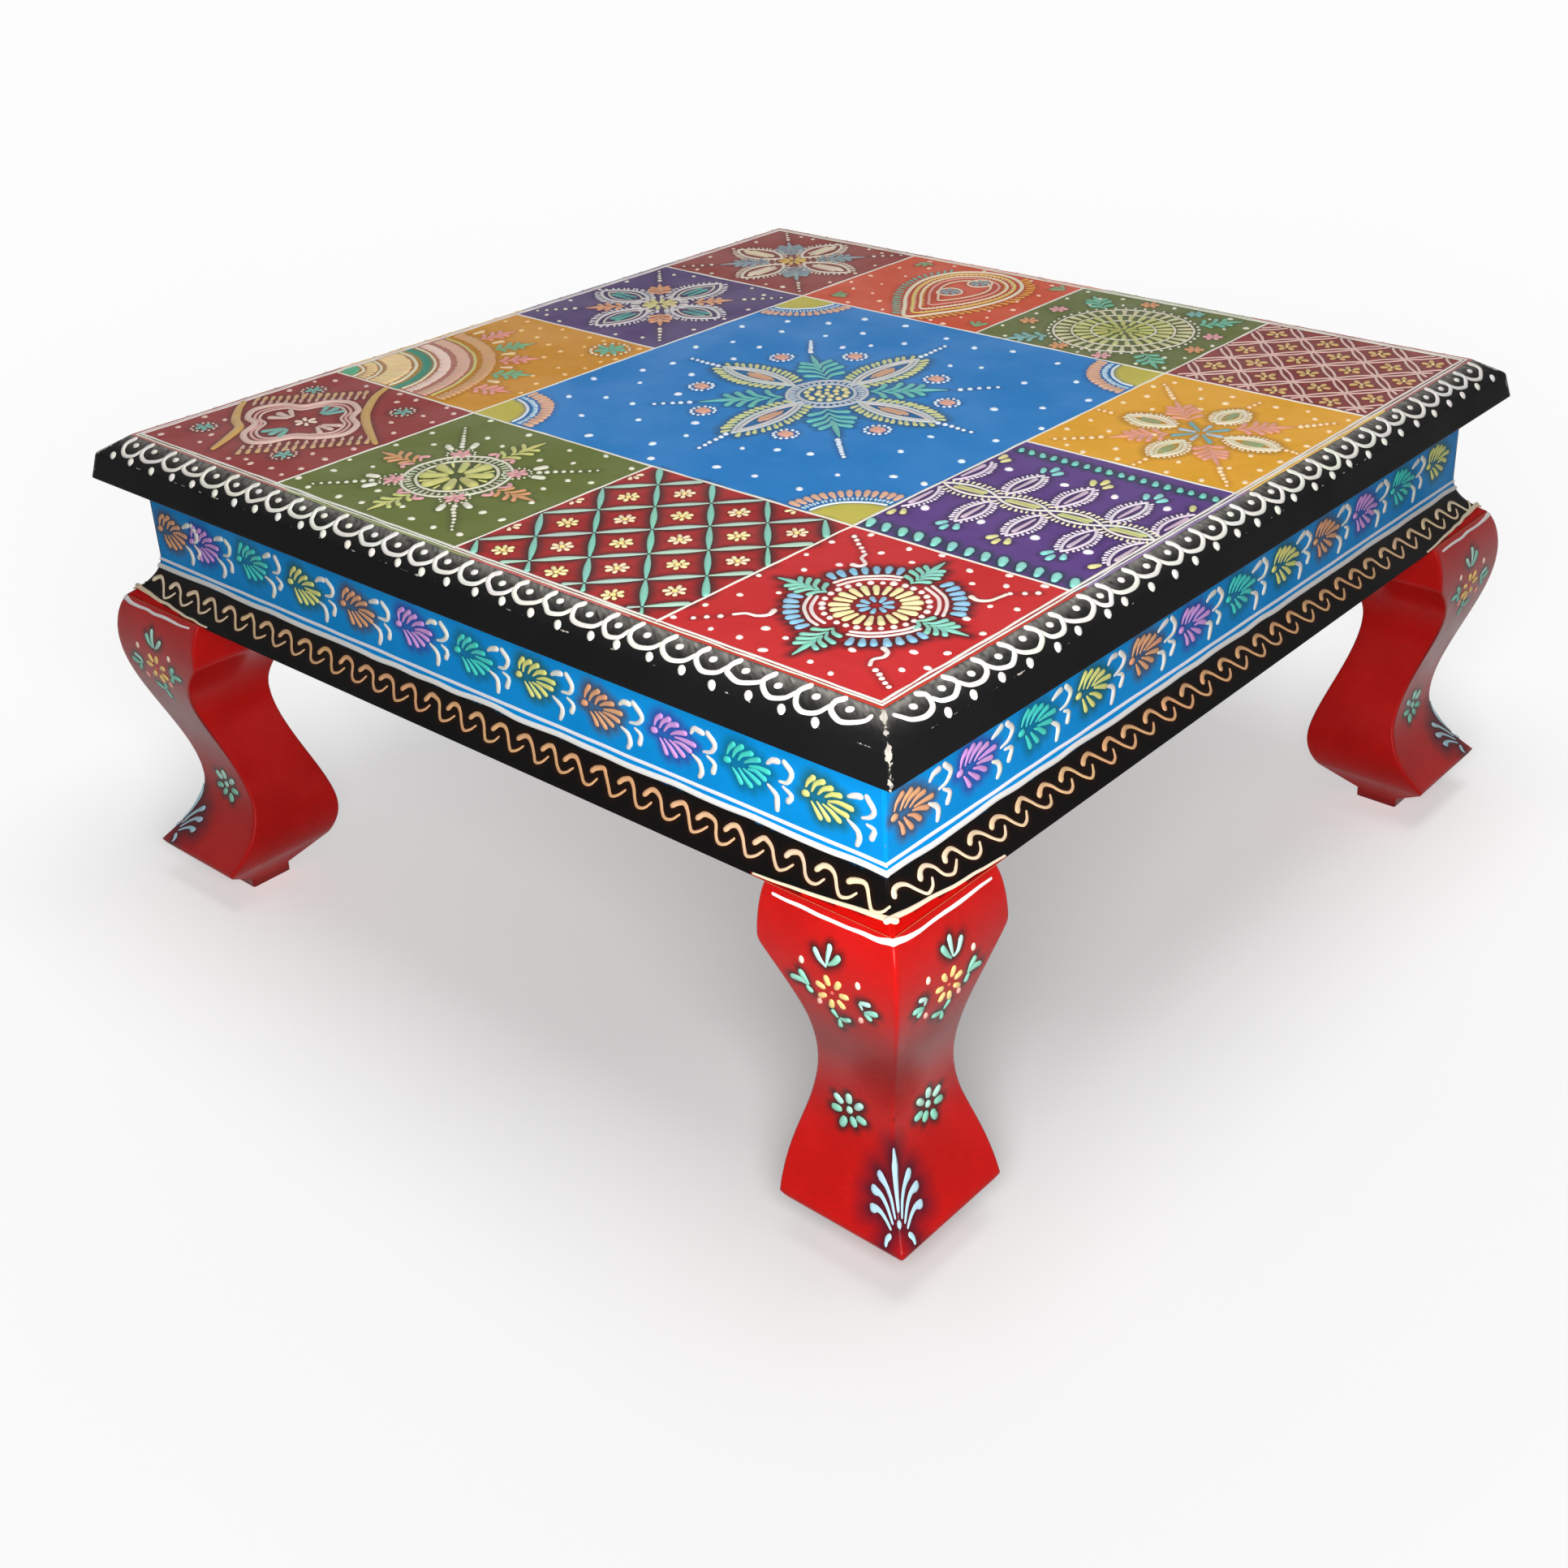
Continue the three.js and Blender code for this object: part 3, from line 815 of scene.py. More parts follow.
marks = Drawing()
for start, end in seam_lines:
    ruled(marks, start, end, 1.3, line_white)
for k in range(4):
    for reach, width in ((210.7, 1.3), (212.4, 1.1)):
        ruled(marks, reach * (1 - 1j) * 1j ** k, reach * (1 + 1j) * 1j ** k, width, line_white)
    for part in range(strip_parts):
        ends = strip_reach * 1j ** k * (1 + 1j * (2 * np.array([part, part + 1]) / strip_parts - 1))
        beside = ends.mean() * mm
        row, column = np.searchsorted(seams_y, beside.imag), np.searchsorted(seams_x, beside.real)
        paint = mixed(patch_paints[row][column], line_white, strip_paleness)
        ruled(marks, *ends, strip_width, near_strip if (row, column) == (0, 3) else paint)
raise_paint("panel_lines", marks, panel_surface, fullness=0.26)

# First patch, at the near corner: a mandala on red. Rings of daubs and white lines round a blue
# heart, a teal spray on each axis and a hook of white paint in each quarter.
full_turn = 2 * math.pi
patch_fullness = 0.3
teal_leaf, sky, straw, shell = "83c6b4", "84b4cf", "eadfa6", "f0dcd5"


def daub(marks, place, aim, length, width, paint):
    """A touch of paint drawn out the way it is aimed, from a thin start to a fat end."""
    half = unit(aim) * max(0.2, length - width * 0.7) / 2
    marks.stroke(jittered([place - half, place + half], 0.12), [0.5 * width, width * rng.normal(1, 0.07)],
                 paint)


def rays(marks, centre, radius, count, length, width, paint, start=0.0, span=full_turn):
    """Daubs round a centre, each aimed outward."""
    for k in range(count):
        aim = np.exp(1j * (start + span * (k + 0.5) / count))
        daub(marks, centre + radius * aim, aim, length, width, paint)


def dots_round(marks, centre, radius, count, width, paint):
    for k in range(count):
        place = centre + radius * np.exp(1j * (full_turn * (k + 0.5) / count))
        marks.dot(place + slip(0.15), width * rng.normal(1, 0.08), paint)


def ring(marks, centre, radius, width, paint, start=0.0, span=full_turn):
    count = max(5, round(radius * span / 5))
    angles = start + span * np.arange(count + (span < full_turn)) / count
    marks.stroke(jittered(centre + radius * np.exp(1j * angles), 0.15), [width], paint,
                 closed=span >= full_turn)


def sprig(marks, base, tip, paint, width, pairs=3):
    """A leaf spray: a pointed leaf to the tip and pairs of shorter ones leaning out from its stem."""
    way = tip - base
    path = [base + way * 0.45, base + way * 0.72, tip]
    marks.stroke(jittered(path, 0.1), [0.4 * width, width, 0.25 * width], paint)
    for k, reach in enumerate((0.28, 0.36, 0.33, 0.3)[:pairs]):
        root = base + way * (0.02 + 0.56 * k / pairs)
        for side in (-1, 1):
            leaf = way * np.exp(side * 1j * (0.92 - 0.4 * k / pairs)) * reach
            path = [root, root + leaf * 0.5 * np.exp(side * -0.3j), root + leaf]
            marks.stroke(jittered(path, 0.1), [0.3 * width, 0.75 * width, 1.05 * width], paint)


def dot_row(marks, path, count, first, last, paint):
    """Dots spaced evenly along a path, changing in width from first to last."""
    line = curve_through(np.array(path, complex))
    run = run_of(line)
    for t in np.linspace(0, 1, count):
        marks.dot(places_on(line, run, t * run[-1]) + slip(0.15), first + (last - first) * t, paint)


def strewn(places, width, paint):
    """Dots all over a patch, none quite round."""
    dots = Drawing()
    for place in places:
        aim = slip(0.18)
        dots.stroke([place - aim - 0.1, place + aim + 0.1], [width * rng.normal(1, 0.1)], paint)
    return dots


def paint_patch(name, marks, tint, reach, strength, dots=None):
    """Shades the panel round some marks, then lays them on it in thick paint with the strewn dots."""
    shade_round(panel, marks, panel_surface, tint, reach * mm, strength)
    if dots:
        marks.place(dots)
    raise_paint(name, marks, panel_surface, patch_fullness)


marks = Drawing()
centre = 163.4 - 156j
rays(marks, centre, 4.4, 9, 4.6, 2.6, sky)
rays(marks, centre, 12.3, 21, 7.8, 3.4, straw)
shade_round(panel, marks, panel_surface, "2c060a", 2.2 * mm, 0.7)
dots_round(marks, centre, 18.9, 28, 2.8, shell)
for k in range(4):
    for radius, width in ((22.4, 1.6), (25.0, 1.5)):
        ring(marks, centre, radius, width, shell, start=(k + 0.19) * quarter_turn, span=0.66 * quarter_turn)
sprays = Drawing()
for k in range(4):
    rays(sprays, centre, 29.4, 7, 5.8, 3.7, sky, start=(k + 0.2) * quarter_turn, span=0.64 * quarter_turn)
for base, tip in ((162 - 134.5j, 160.3 - 112.6j), (142.5 - 157.8j, 120 - 158.6j),
                  (182 - 157.6j, 204 - 156.2j), (163.4 - 178.5j, 165.8 - 202.4j)):
    sprig(sprays, base, tip, teal_leaf, width=2.5, pairs=4)
shade_round(panel, sprays, panel_surface, "2a060c", 3.8 * mm, 0.95)
marks.place(sprays)
for path in ((132 - 123.7j, 133 - 127.3j, 136.3 - 129.4j, 138 - 131.6j, 137 - 133.7j, 134.5 - 134j),
             (194.8 - 121.6j, 194.1 - 125.1j, 193 - 129.4j, 189.8 - 131.6j, 186.3 - 130.8j),
             (191.3 - 193j, 189.5 - 189.4j, 191.3 - 185.8j, 190.1 - 182.3j, 187.3 - 180.8j),
             (128.4 - 191.1j, 131.3 - 188j, 135.5 - 187.3j, 138.4 - 184.4j, 137.7 - 180.8j)):
    marks.stroke(path, [1.7, 1.5, 1.7, 2.0, 2.8], shell)
for path, count in (((118 - 113.6j, 130 - 122.4j), 5), ((203 - 114j, 195.5 - 120.6j), 3),
                    ((195.5 - 195j, 206.3 - 201.6j), 5), ((125.5 - 195j, 118.9 - 201.8j), 3)):
    dot_row(marks, path, count, 2.6, 2.2, shell)
dots = strewn((122 - 108.5j, 142 - 110.5j, 155.5 - 108j, 186 - 108j, 201.5 - 108j, 172 - 113j, 190.5 - 116j,
               136 - 119.5j, 150.5 - 119.5j, 179.5 - 121.5j, 114.5 - 122.5j, 205 - 129.5j, 196 - 133j,
               130.5 - 137j, 114.5 - 137j, 123 - 148j, 195.5 - 146j, 207 - 152j, 113 - 161.5j, 129 - 168.5j,
               206.5 - 171j, 197 - 177j, 119 - 178j, 208 - 183.5j, 179.5 - 188j, 145 - 193j, 202 - 189.5j,
               115 - 191.5j, 155.5 - 194.5j, 174 - 203j, 142.5 - 203.5j, 130 - 204.5j, 155.5 - 206j,
               113 - 205.5j, 185 - 205.5j), 2.5, shell)
paint_patch("mandala_ornament", marks, "2c060a", 1.8, 0.5, dots)

# Second patch: a lattice on red. Leaf-shaped strokes run from node to node, over bands of dark
# shading, with a small flower in every cell.
lattice_start, lattice_down, lattice_up = 3.4 - 102j, 15.75 - 17.3j, 15.75 + 15.6j
lattice_middle, stroke_room, flower_room = 56.2 - 158.2j, 53.2 + 51.4j, 52 + 50j
petal_reach = 2.7
marks = Drawing()
flowers = Drawing()
for i in range(-6, 14):
    for j in range(-8, 10):
        knot = lattice_start + i * lattice_down + j * lattice_up
        for way, thick, paint in ((lattice_down, 2.1, "86cfba"), (lattice_up, 2.2, "a2bcae")):
            share = np.linspace(0.04, 0.96, 17)
            line = knot + way * share
            inside = within(line, lattice_middle, stroke_room)
            if inside.sum() > 2:
                widths = 0.7 + thick * rng.normal(1, 0.08) * np.sin(math.pi * share) ** 1.2
                marks.stroke(line[inside], widths[inside], paint)
        heart = knot + (lattice_down + lattice_up) / 2
        start, paint = rng.uniform(0, 1), ("efe2a6", "f1dcb8")[(i + j) % 2]
        for petal in np.exp(1j * (start + full_turn * np.arange(7) / 7)):
            place = heart + petal_reach * petal
            if within(place, lattice_middle, flower_room):
                daub(flowers, place, petal, 3.1, 2.5, paint)
        if within(heart, lattice_middle, flower_room):
            flowers.dot(heart, 2.6, "eed88a")
shade_round(panel, marks, panel_surface, "24100f", 4.4 * mm, 1.0)
shade_round(panel, flowers, panel_surface, "2c0808", 1.6 * mm, 0.6)
marks.place(flowers)
raise_paint("lattice_ornament", marks, panel_surface, patch_fullness)

# Third patch: a round flower on olive green, ringed with white lines, with pink florets between its
# sprays and rows of dots running out to the corners.
leaf_green, salmon, rose, pearl = "c2c578", "d2966a", "dba0a4", "dfdfcc"
marks = Drawing()
centre = -55.5 - 161.5j
rays(marks, centre, 9, 8, 12.5, 6.0, "c0c078", start=0.2)
rays(marks, centre, 13, 8, 5, 1.6, "dfe08c", start=0.2 + full_turn / 16)
paint_patch("olive_flower", marks, "22280a", 5.0, 0.75)
marks = Drawing()
ring(marks, centre, 17, 1.5, pearl)
rays(marks, centre, 19.8, 44, 3.4, 1.6, "bfc3ac")
ring(marks, centre, 22.6, 1.5, pearl)
for spot in (-37 - 145j, -74 - 144j, -74 - 179.5j, -37 - 178j):
    rays(marks, spot, 2.2, 6, 4.4, 3.0, rose)
    dots_round(marks, spot, 6, 15, 1.3, pearl)
    aim = unit(spot - centre)
    dot_row(marks, (spot + 9 * aim, spot + 33 * aim), 8, 2.9, 1.5, pearl)
    for side in (-1, 1):
        path = [spot + 8.6 * aim * np.exp(0.55j * side), spot + 12.4 * aim * np.exp(0.5j * side)]
        marks.stroke(path, [2.9, 3.3], pearl)
for tip, base, paint in ((-55 - 113j, -56 - 137j, leaf_green), (-56 - 207j, -55 - 186j, leaf_green),
                         (-104 - 162j, -83 - 161j, salmon), (-9 - 161j, -30 - 162j, salmon)):
    sprig(marks, base, tip, paint, width=2.5)
    aim = unit(tip - base)
    for side in (-1, 1):
        path = [base + 7j * side * aim, base + (5j * side + 2) * aim, base + (2j * side - 1) * aim]
        marks.stroke(path, [2.6, 2.0, 1.2], rose)
dots = strewn((-68 - 111j, -39.5 - 113.5j, -22 - 109j, -2.5 - 113j, -80 - 124j, -67 - 127j, -41 - 129j,
               -27 - 123j, -4.5 - 134j, -14 - 138j, -93 - 143j, -106 - 153j, -15.5 - 150j, -8 - 163j,
               -93 - 175.5j, -108 - 176j, -16 - 181.5j, -4 - 182j, -103 - 188j, -69 - 191.5j, -47 - 196.5j,
               -108 - 202j, -96 - 206j, -77 - 205j, -64 - 203.5j, -34 - 202.5j, -20 - 203j, -6 - 201.5j,
               -96 - 108.5j, -105 - 134j), 2.5, pearl)
paint_patch("olive_ornament", marks, "2e3212", 2.6, 0.5, dots)

# Fourth patch: a four-lobed frame on maroon between two golden vines, with leaves inside it and
# rows of golden daubs outside.
gold, dusky_pink, dull_teal = "c9a05c", "d8bbb0", "74aa9e"
marks = Drawing()
frame_path = (-168 - 130j, -157 - 134j, -151 - 142j, -141 - 147j, -135.5 - 158j, -142 - 168j, -151 - 174j,
              -155 - 184j, -162 - 188.5j, -173 - 184j, -180 - 173j, -190 - 170j, -196.5 - 161j, -192 - 150j,
              -182 - 146j, -177 - 135j)
frame_heart = -165.5 - 159j
for inward, width, paint in ((0, 3.2, dusky_pink), (0.13, 1.5, "d9a79c"), (0.22, 1.5, dusky_pink)):
    marks.stroke([p + (frame_heart - p) * inward for p in frame_path], [width], paint, closed=True)
for path in ((-171 - 107.5j, -166 - 117j, -158 - 127j, -148 - 137j, -133 - 147j, -115 - 157j),
             (-209.5 - 158.5j, -203 - 166j, -192 - 175j, -182 - 180j, -175 - 190j, -168 - 203j)):
    marks.stroke(path, [2.6, 3.8, 4.4, 4.4, 3.8, 2.4], gold)
for start, end, aim in ((-206.5 - 154j, -171.5 - 119j, -1 + 1.1j), (-156.5 - 197j, -121.5 - 156j, 1 - 1.1j)):
    for share in np.linspace(0, 1, 15):
        daub(marks, start + (end - start) * share + aim, aim, 6.2, 2.7, "cba478")
        daub(marks, start + (end - start) * share - 2.9 * aim, aim, 4.6, 2.3, "c9a595")
rays(marks, -163.5 - 158j, 3, 6, 4.2, 2.6, "ead9c4")
for spot, paint in ((-166 - 143j, dull_teal), (-163 - 173j, dull_teal), (-178 - 158.5j, dusky_pink),
                    (-150 - 157.5j, dusky_pink)):
    aim = unit(spot + 164 + 158j)
    for side in (-1, 0, 1):
        daub(marks, spot + side * 3.6j * aim, aim * np.exp(0.5j * side), 10, 3.3, paint)
for spot in (-197 - 129j, -138 - 124j, -195.5 - 189j, -136.5 - 189j):
    rays(marks, spot, 2, 5, 3.8, 2.6, dull_teal)
    dots_round(marks, spot, 5.4, 13, 1.5, dusky_pink)
dots = strewn((-200 - 114.5j, -181 - 111j, -159 - 109j, -146 - 110j, -126 - 108.5j, -117 - 112j, -151 - 117j,
               -207 - 121j, -126 - 122j, -116 - 125j, -206 - 136j, -131 - 136j, -119 - 144j, -117 - 167j,
               -127 - 181j, -117 - 182j, -207 - 181j, -196 - 178j, -184 - 193j, -205 - 196j, -180 - 201.5j,
               -145 - 202j, -139 - 204j, -127 - 202j, -116 - 195j, -117 - 204j, -203 - 206j, -152 - 206j),
              2.4, dusky_pink)
paint_patch("maroon_ornament", marks, "2a0c0a", 3.0, 0.6, dots)

# The middle square: a flower of four long petals on blue, with teal sprays between them, white dots
# strewn all over and a quarter disc in each corner.
seed, peach_pink, light_teal, snow = "dcd39a", "cf9f82", "68b8b0", "dfeaf2"


def side_of(start, end, bulge):
    """One side of a pointed petal from tip to tip, bulging to its left."""
    way, share = end - start, np.linspace(0, 1, 9)
    return start + way * share + 1j * way / abs(way) * bulge * np.sin(math.pi * share) ** 0.8


def fringed(marks, line, count, length, width, paint, lean):
    """Short daubs standing out to the left of a line, leaning forward along it."""
    for t in np.linspace(0, len(line) - 1, count + 2)[1:-1]:
        k = min(int(t), len(line) - 2)
        way = line[k + 1] - line[k]
        aim = unit(way) * (1j + lean)
        daub(marks, line[k] + way * (t - k) + aim * length * 0.55, aim, length, width, paint)


def fringed_petal(marks, start, end, side, bulge, count, length, width, paint, lean):
    """A fringe round one side of a petal, 1 its left and -1 its right, leaning towards its tip."""
    outer = side_of(start, end, bulge) if side > 0 else side_of(end, start, bulge)
    fringed(marks, outer, count, length, width, paint, lean * side)


marks = Drawing()
centre = 2 + 5.5j
for start, end in ((21 + 5j, 65 + 4.5j), (3.5 + 21j, 5 + 68j), (-18 + 5.5j, -63 + 6.5j),
                   (0.5 - 10j, 2 - 57j)):
    way = end - start
    for side in (-1, 1):
        marks.stroke(side_of(start, end, 6.8 * side), [1.9], "ccd0d0")
        marks.stroke(side_of(start + way * 0.08, end - way * 0.08, 4.4 * side), [1.7], "d5cfcb")
        fringed_petal(marks, start, end, side, 7.8, 14, 5.2, 2.7, "c9cc90", lean=0.6)
    for side in (-1, 0, 1):
        place = start + way * 0.45 + side * 1.4j * unit(way)
        daub(marks, place, way, 17 - 5 * abs(side), 2.6, peach_pink)
dots_round(marks, centre, 4.6, 7, 3.3, seed)
dots_round(marks, centre, 9.2, 13, 3.4, seed)
marks.dot(centre, 3.0, seed)
for radius in (13, 18.2):
    ring(marks, centre, radius, 1.7, "c2c8cf")
rays(marks, centre, 15.6, 34, 4, 2.4, "b4bcc6")
paint_patch("middle_flower", marks, "1c3a48", 4.0, 0.7)
marks = Drawing()
for base, tip in ((16 + 19j, 43 + 41j), (-11 + 21j, -41 + 44j), (-11 - 9j, -38 - 36j), (15 - 10j, 43 - 34j)):
    sprig(marks, base, tip, light_teal, width=3.1, pairs=4)
shade_round(panel, marks, panel_surface, "0c4c6c", 3.0 * mm, 0.6)
for path, count in (((48 + 44.5j, 60 + 57j), 5), ((-44 + 47j, -55 + 60j), 7),
                    ((-40.5 - 39.5j, -52.5 - 50j), 5), ((45 - 37.5j, 60 - 51.5j), 8),
                    ((67 + 4j, 85 + 3j), 6), ((4 + 71.5j, 3.5 + 91j), 6), ((-66 + 5.8j, -84 + 6.8j), 6),
                    ((1.2 - 60j, 3.4 - 79j), 6)):
    dot_row(marks, path, count, 3.0, 2.2, snow)
for spot in (-22 + 54j, 30 + 50j, -50 + 33j, 54 + 27j, -52 - 20j, 51 - 18j, -28 - 44j, 22 - 45j):
    for side in (-1, 1):
        marks.stroke([spot - 1.8 + 1.2j * side, spot + 1.8 + 1.2j * side], [3.4, 3.4], "dca491")
    dots_round(marks, spot, 5.4, 13, 1.9, snow)
dots = strewn((-56.7 + 102.9j, -32.7 + 105.7j, -3.6 + 101j, 16.4 + 97j, 34.7 + 103j, 62.3 + 100.4j,
               84.4 + 83.3j, 103 + 65.7j, 66 + 68.6j, 37 + 75j, 23.3 + 69j, -15.3 + 83j, -42.4 + 84.3j,
               -67.4 + 87.4j, -86.4 + 78j, -77.4 + 63.6j, -55 + 70.7j, -26.7 + 71.4j, -36 + 61.4j,
               -99.6 + 58.6j, -86 + 37.4j, -69.6 + 38.6j, -95.3 + 21j, -67.4 + 18j, -86.7 - 3.6j,
               -67.4 - 10.7j, -91 - 19.3j, -79 - 33j, -53 - 34.3j, -101 - 41.4j, -76.7 - 56.7j,
               -60.7 - 55.7j, -19.6 - 57.6j, -91.7 - 65.7j, -43 - 69.3j, -11.7 - 71.4j, 18.6 - 68.6j,
               32 - 61.4j, 46.6 - 57j, -68 - 80j, -16.4 - 87j, 25 - 91j, 44.7 - 89.3j, 69 - 89.3j,
               71.4 - 68.6j, 91 - 56.7j, 106 - 55.7j, 103 - 27j, 75.4 - 32.6j, 74.7 - 11.4j, 100 + 0.7j,
               107 + 24j, 76 + 32j, 92.3 + 45.7j, -46.3 - 96j, -4.3 - 100j), 2.8, snow)
for k, place in enumerate(disc_places):
    start = (k + 1) % 4 * quarter_turn
    ring(marks, place, 22.6, 1.5, snow, start=start + 0.07, span=quarter_turn - 0.14)
    rays(marks, place, 25.8, 22, 2.6, 1.6, "bcd8e4", start=start + 0.03, span=quarter_turn - 0.06)
    rays(marks, place, 30.8, 14, 6.4, 3.6, "d8aa90", start=start + 0.02, span=quarter_turn - 0.04)
paint_patch("middle_ornament", marks, "0c3a72", 2.0, 0.55, dots)

# The patch right of the middle, on purple: a vine of yellow leaves across it with a dotted white
# fringe, fringed white leaves standing off each joint and a row of teal daubs at both seams.
vine_joints, vine_height, lilac_white = (111.6, 138, 162, 187, 210), -49.8j, "e6dbe6"
marks = Drawing()
for a, b in zip(vine_joints, vine_joints[1:]):
    for side in (-1, 1):
        start, end = (a, b) if side > 0 else (b, a)
        half = side_of(start + vine_height, end + vine_height, 4.1)
        marks.stroke(half, [1.4], "eae4dd")
        fringed(marks, half + 1.0j * side, 10, 2.6, 1.6, "ece6c0", lean=0.2 * side)
        daub(marks, (a + b) / 2 + vine_height + 1.0j * side, side + 0j, 15, 2.3, "c3c184")
for k, joint in enumerate(vine_joints):
    at_seam = k in (0, len(vine_joints) - 1)
    joint += 1.2 if k == 0 else -1.6 if at_seam else 0.6
    for start, end in ((joint - 45j, joint + 0.8 - 20.5j), (joint - 54.5j, joint + 0.8 - 79j)):
        for side in (-1, 1):
            if at_seam and (side * (end - start).imag > 0) == (k == 0):
                continue
            marks.stroke(side_of(start, end, 3.9 * side), [1.5], lilac_white)
            fringed_petal(marks, start, end, side, 4.7, 12, 2.2, 1.6, lilac_white, lean=0.3)
        daub(marks, (start + end) / 2, end - start, 16, 2.4, "cdb6c6")
    for tip, aim in ((joint + 1 - 15.5j, 1j), (joint + 1 - 83.5j, -1j)):
        for side in (-1, 0, 1):
            place = tip + side * 3.3 + aim * (2.0 - 2.8 * abs(side))
            if abs(place.real - 160.6) < 48.5:
                outward = aim * np.exp(-0.45j * side * aim.imag)
                daub(marks, place, outward, 5.4, 3.6, ("d8d090", "86cdc9")[k % 2])
paint_patch("vine_ornament", marks, "1c0f2c", 2.8, 0.65)
marks = Drawing()
for place in np.arange(115, 210, 5.45):
    daub(marks, place - 1.6j + 0.2 * rng.normal(), 0.5 - 1j, 4.8, 3.6, "74c6ba")
for place in np.arange(114.5, 210, 7.85):
    daub(marks, place - 100.2j, -0.45 + 1j, 7.4, 4.5, "8ad2c6")
shade_round(panel, marks, panel_surface, "0a3038", 3.4 * mm, 1.0)
marks.place(strewn((124 - 23j, 152 - 24j, 175 - 23j, 198 - 21.5j, 122 - 75.5j, 148 - 74j, 173.5 - 74.5j,
                    197 - 74j), 3.6, "f0ebf2"))
raise_paint("vine_daubs", marks, panel_surface, patch_fullness)

# The next patch, on orange: four petals outlined in cream on the axes, a blue-grey star between
# them and a pink spray in each quarter, with a row of dots running on to the corner.
cream_white = "e8dfc4"
marks = Drawing()
for start, end, bulge in ((151.4 + 59.4j, 127.5 + 59.2j, 6), (176 + 59.2j, 201 + 59.6j, 6),
                          (164.4 + 72.5j, 164.8 + 93j, 5.8), (163.5 + 46.5j, 163 + 23.5j, 5.8)):
    way = end - start
    for side in (-1, 1):
        marks.stroke(side_of(start, end, bulge * side), [1.9], cream_white)
        marks.stroke(side_of(start + way * 0.1, end - way * 0.1, (bulge - 2.2) * side), [1.7], "dcd2ae")
        fringed_petal(marks, start, end, side, bulge + 0.8, 13, 2.2, 1.4, cream_white, lean=0.3)
    for side in (-1, 1):
        daub(marks, start + way * (0.5 + 0.04j * side), way, 10, 2.4, "93a072")
for k in range(8):
    aim = np.exp(1j * (k * full_turn / 8 + 0.1))
    radius, length, paint = (7.4, 11, "6fa3a8") if k % 2 else (6.0, 8, "a9bdc4")
    daub(marks, 164.5 + 58.5j + aim * radius, aim, length, 2.6, paint)
paint_patch("orange_flower", marks, "7a4a0c", 3.2, 0.55)
marks = Drawing()
for base, tip, out in ((153 + 69j, 134 + 87j, 119 + 103j), (174 + 71j, 193 + 87j, 204 + 101j),
                       (154 + 50j, 136 + 32j, 119 + 17j), (173.5 + 48j, 190 + 30j, 204 + 13j)):
    sprig(marks, base, tip, "de9a86", width=2.8, pairs=4)
    dot_row(marks, (tip + (out - tip) * 0.15, out), 6, 3.0, 2.0, "f2d6ac")
for path in ((120 + 58j, 113.5 + 58j), (204 + 60.5j, 209 + 60.5j), (165 + 98j, 165.5 + 106j),
             (162.5 + 18.5j, 162 + 11j)):
    dot_row(marks, path, 3, 2.6, 2.0, "f0cfa0")
dots = strewn((142 + 96j, 154 + 96.5j, 183 + 93j, 195 + 101j, 174 + 105j, 135 + 107j, 152 + 106j, 207 + 91j,
               121 + 85j, 149 + 84j, 132 + 72j, 117 + 72j, 198 + 72j, 208 + 70j, 150 + 45j, 118 + 45j,
               132 + 38j, 208 + 48j, 206 + 35j, 195 + 30j, 146 + 22j, 175 + 24j, 116 + 30j, 153 + 12.5j,
               177 + 11.5j, 193 + 12j, 137 + 11j, 208 + 20j, 127 + 14j, 195 + 47j, 116 + 98j, 207 + 108j,
               121 + 108j, 188 + 108j), 2.5, "f2d6ac")
paint_patch("orange_ornament", marks, "9a5c10", 2.0, 0.35, dots)

# The far right patch, on dusky red: a lattice of double pink lines with a yellow flower in each cell.
marks = Drawing()
cell_step = 13.35 + 14.5j
dusky_middle = 160.5 + 163.6j
for i in range(-4, 9):
    for j in range(-2, 8):
        knot = 123 + 124.5j + (2 * i + j % 2) * cell_step.real + 1j * j * cell_step.imag
        for way in (cell_step, np.conj(cell_step)):
            share = np.linspace(0, 1, 8)
            for side in (-1, 1):
                line = knot + way * share + side * (0.7 + 1.1 * np.sin(math.pi * share)) * 1j * unit(way)
                inside = within(line, dusky_middle, 49.2 + 46j)
                if inside.sum() > 2:
                    marks.stroke(line[inside], [1.4], "e0bcb2")
        heart = knot + cell_step.real
        if within(heart, dusky_middle, 47.5 + 44j):
            rays(marks, heart, 3, 5, 3.8, 3.1, "cfae74", start=rng.uniform(0, 1))
            marks.dot(heart, 1.8, "ead9a0")
paint_patch("dusky_lattice", marks, "300808", 2.6, 0.5)

# The patch behind the middle, on green: a round flower in three rings of petals, with sprays and
# florets round it and white dots between.
marks = Drawing()
centre = 59 + 161j
for radius, count, length, width, paint in ((4, 8, 6, 2.6, "adb064"), (11, 16, 8, 3.2, "babb72"),
                                            (20, 24, 8.5, 3.6, "c2c284"), (29.4, 34, 7.6, 3.0, "cbc8a0")):
    rays(marks, centre, radius, count, length, width, paint)
for radius in (15.6, 25, 34):
    ring(marks, centre, radius, 1.2, pearl)
dots_round(marks, centre, 36.4, 46, 1.8, pearl)
for k, paint in enumerate(("6fb39a", "6fb39a", "7fb0ac", "6fb39a")):
    aim = np.exp(1j * (quarter_turn * (k + 0.5) + 0.05))
    sprig(marks, centre + 38 * aim, centre + 60 * aim, paint, width=2.8)
for spot, paint in ((47 + 204j, salmon), (47 + 123j, salmon), (103 + 154j, salmon), (13 + 172j, rose),
                    (72 + 122j, rose), (100 + 176j, rose), (12 + 148j, salmon), (74 + 203j, "7fb0ac")):
    rays(marks, spot, 2.3, 6, 4.2, 2.8, paint)
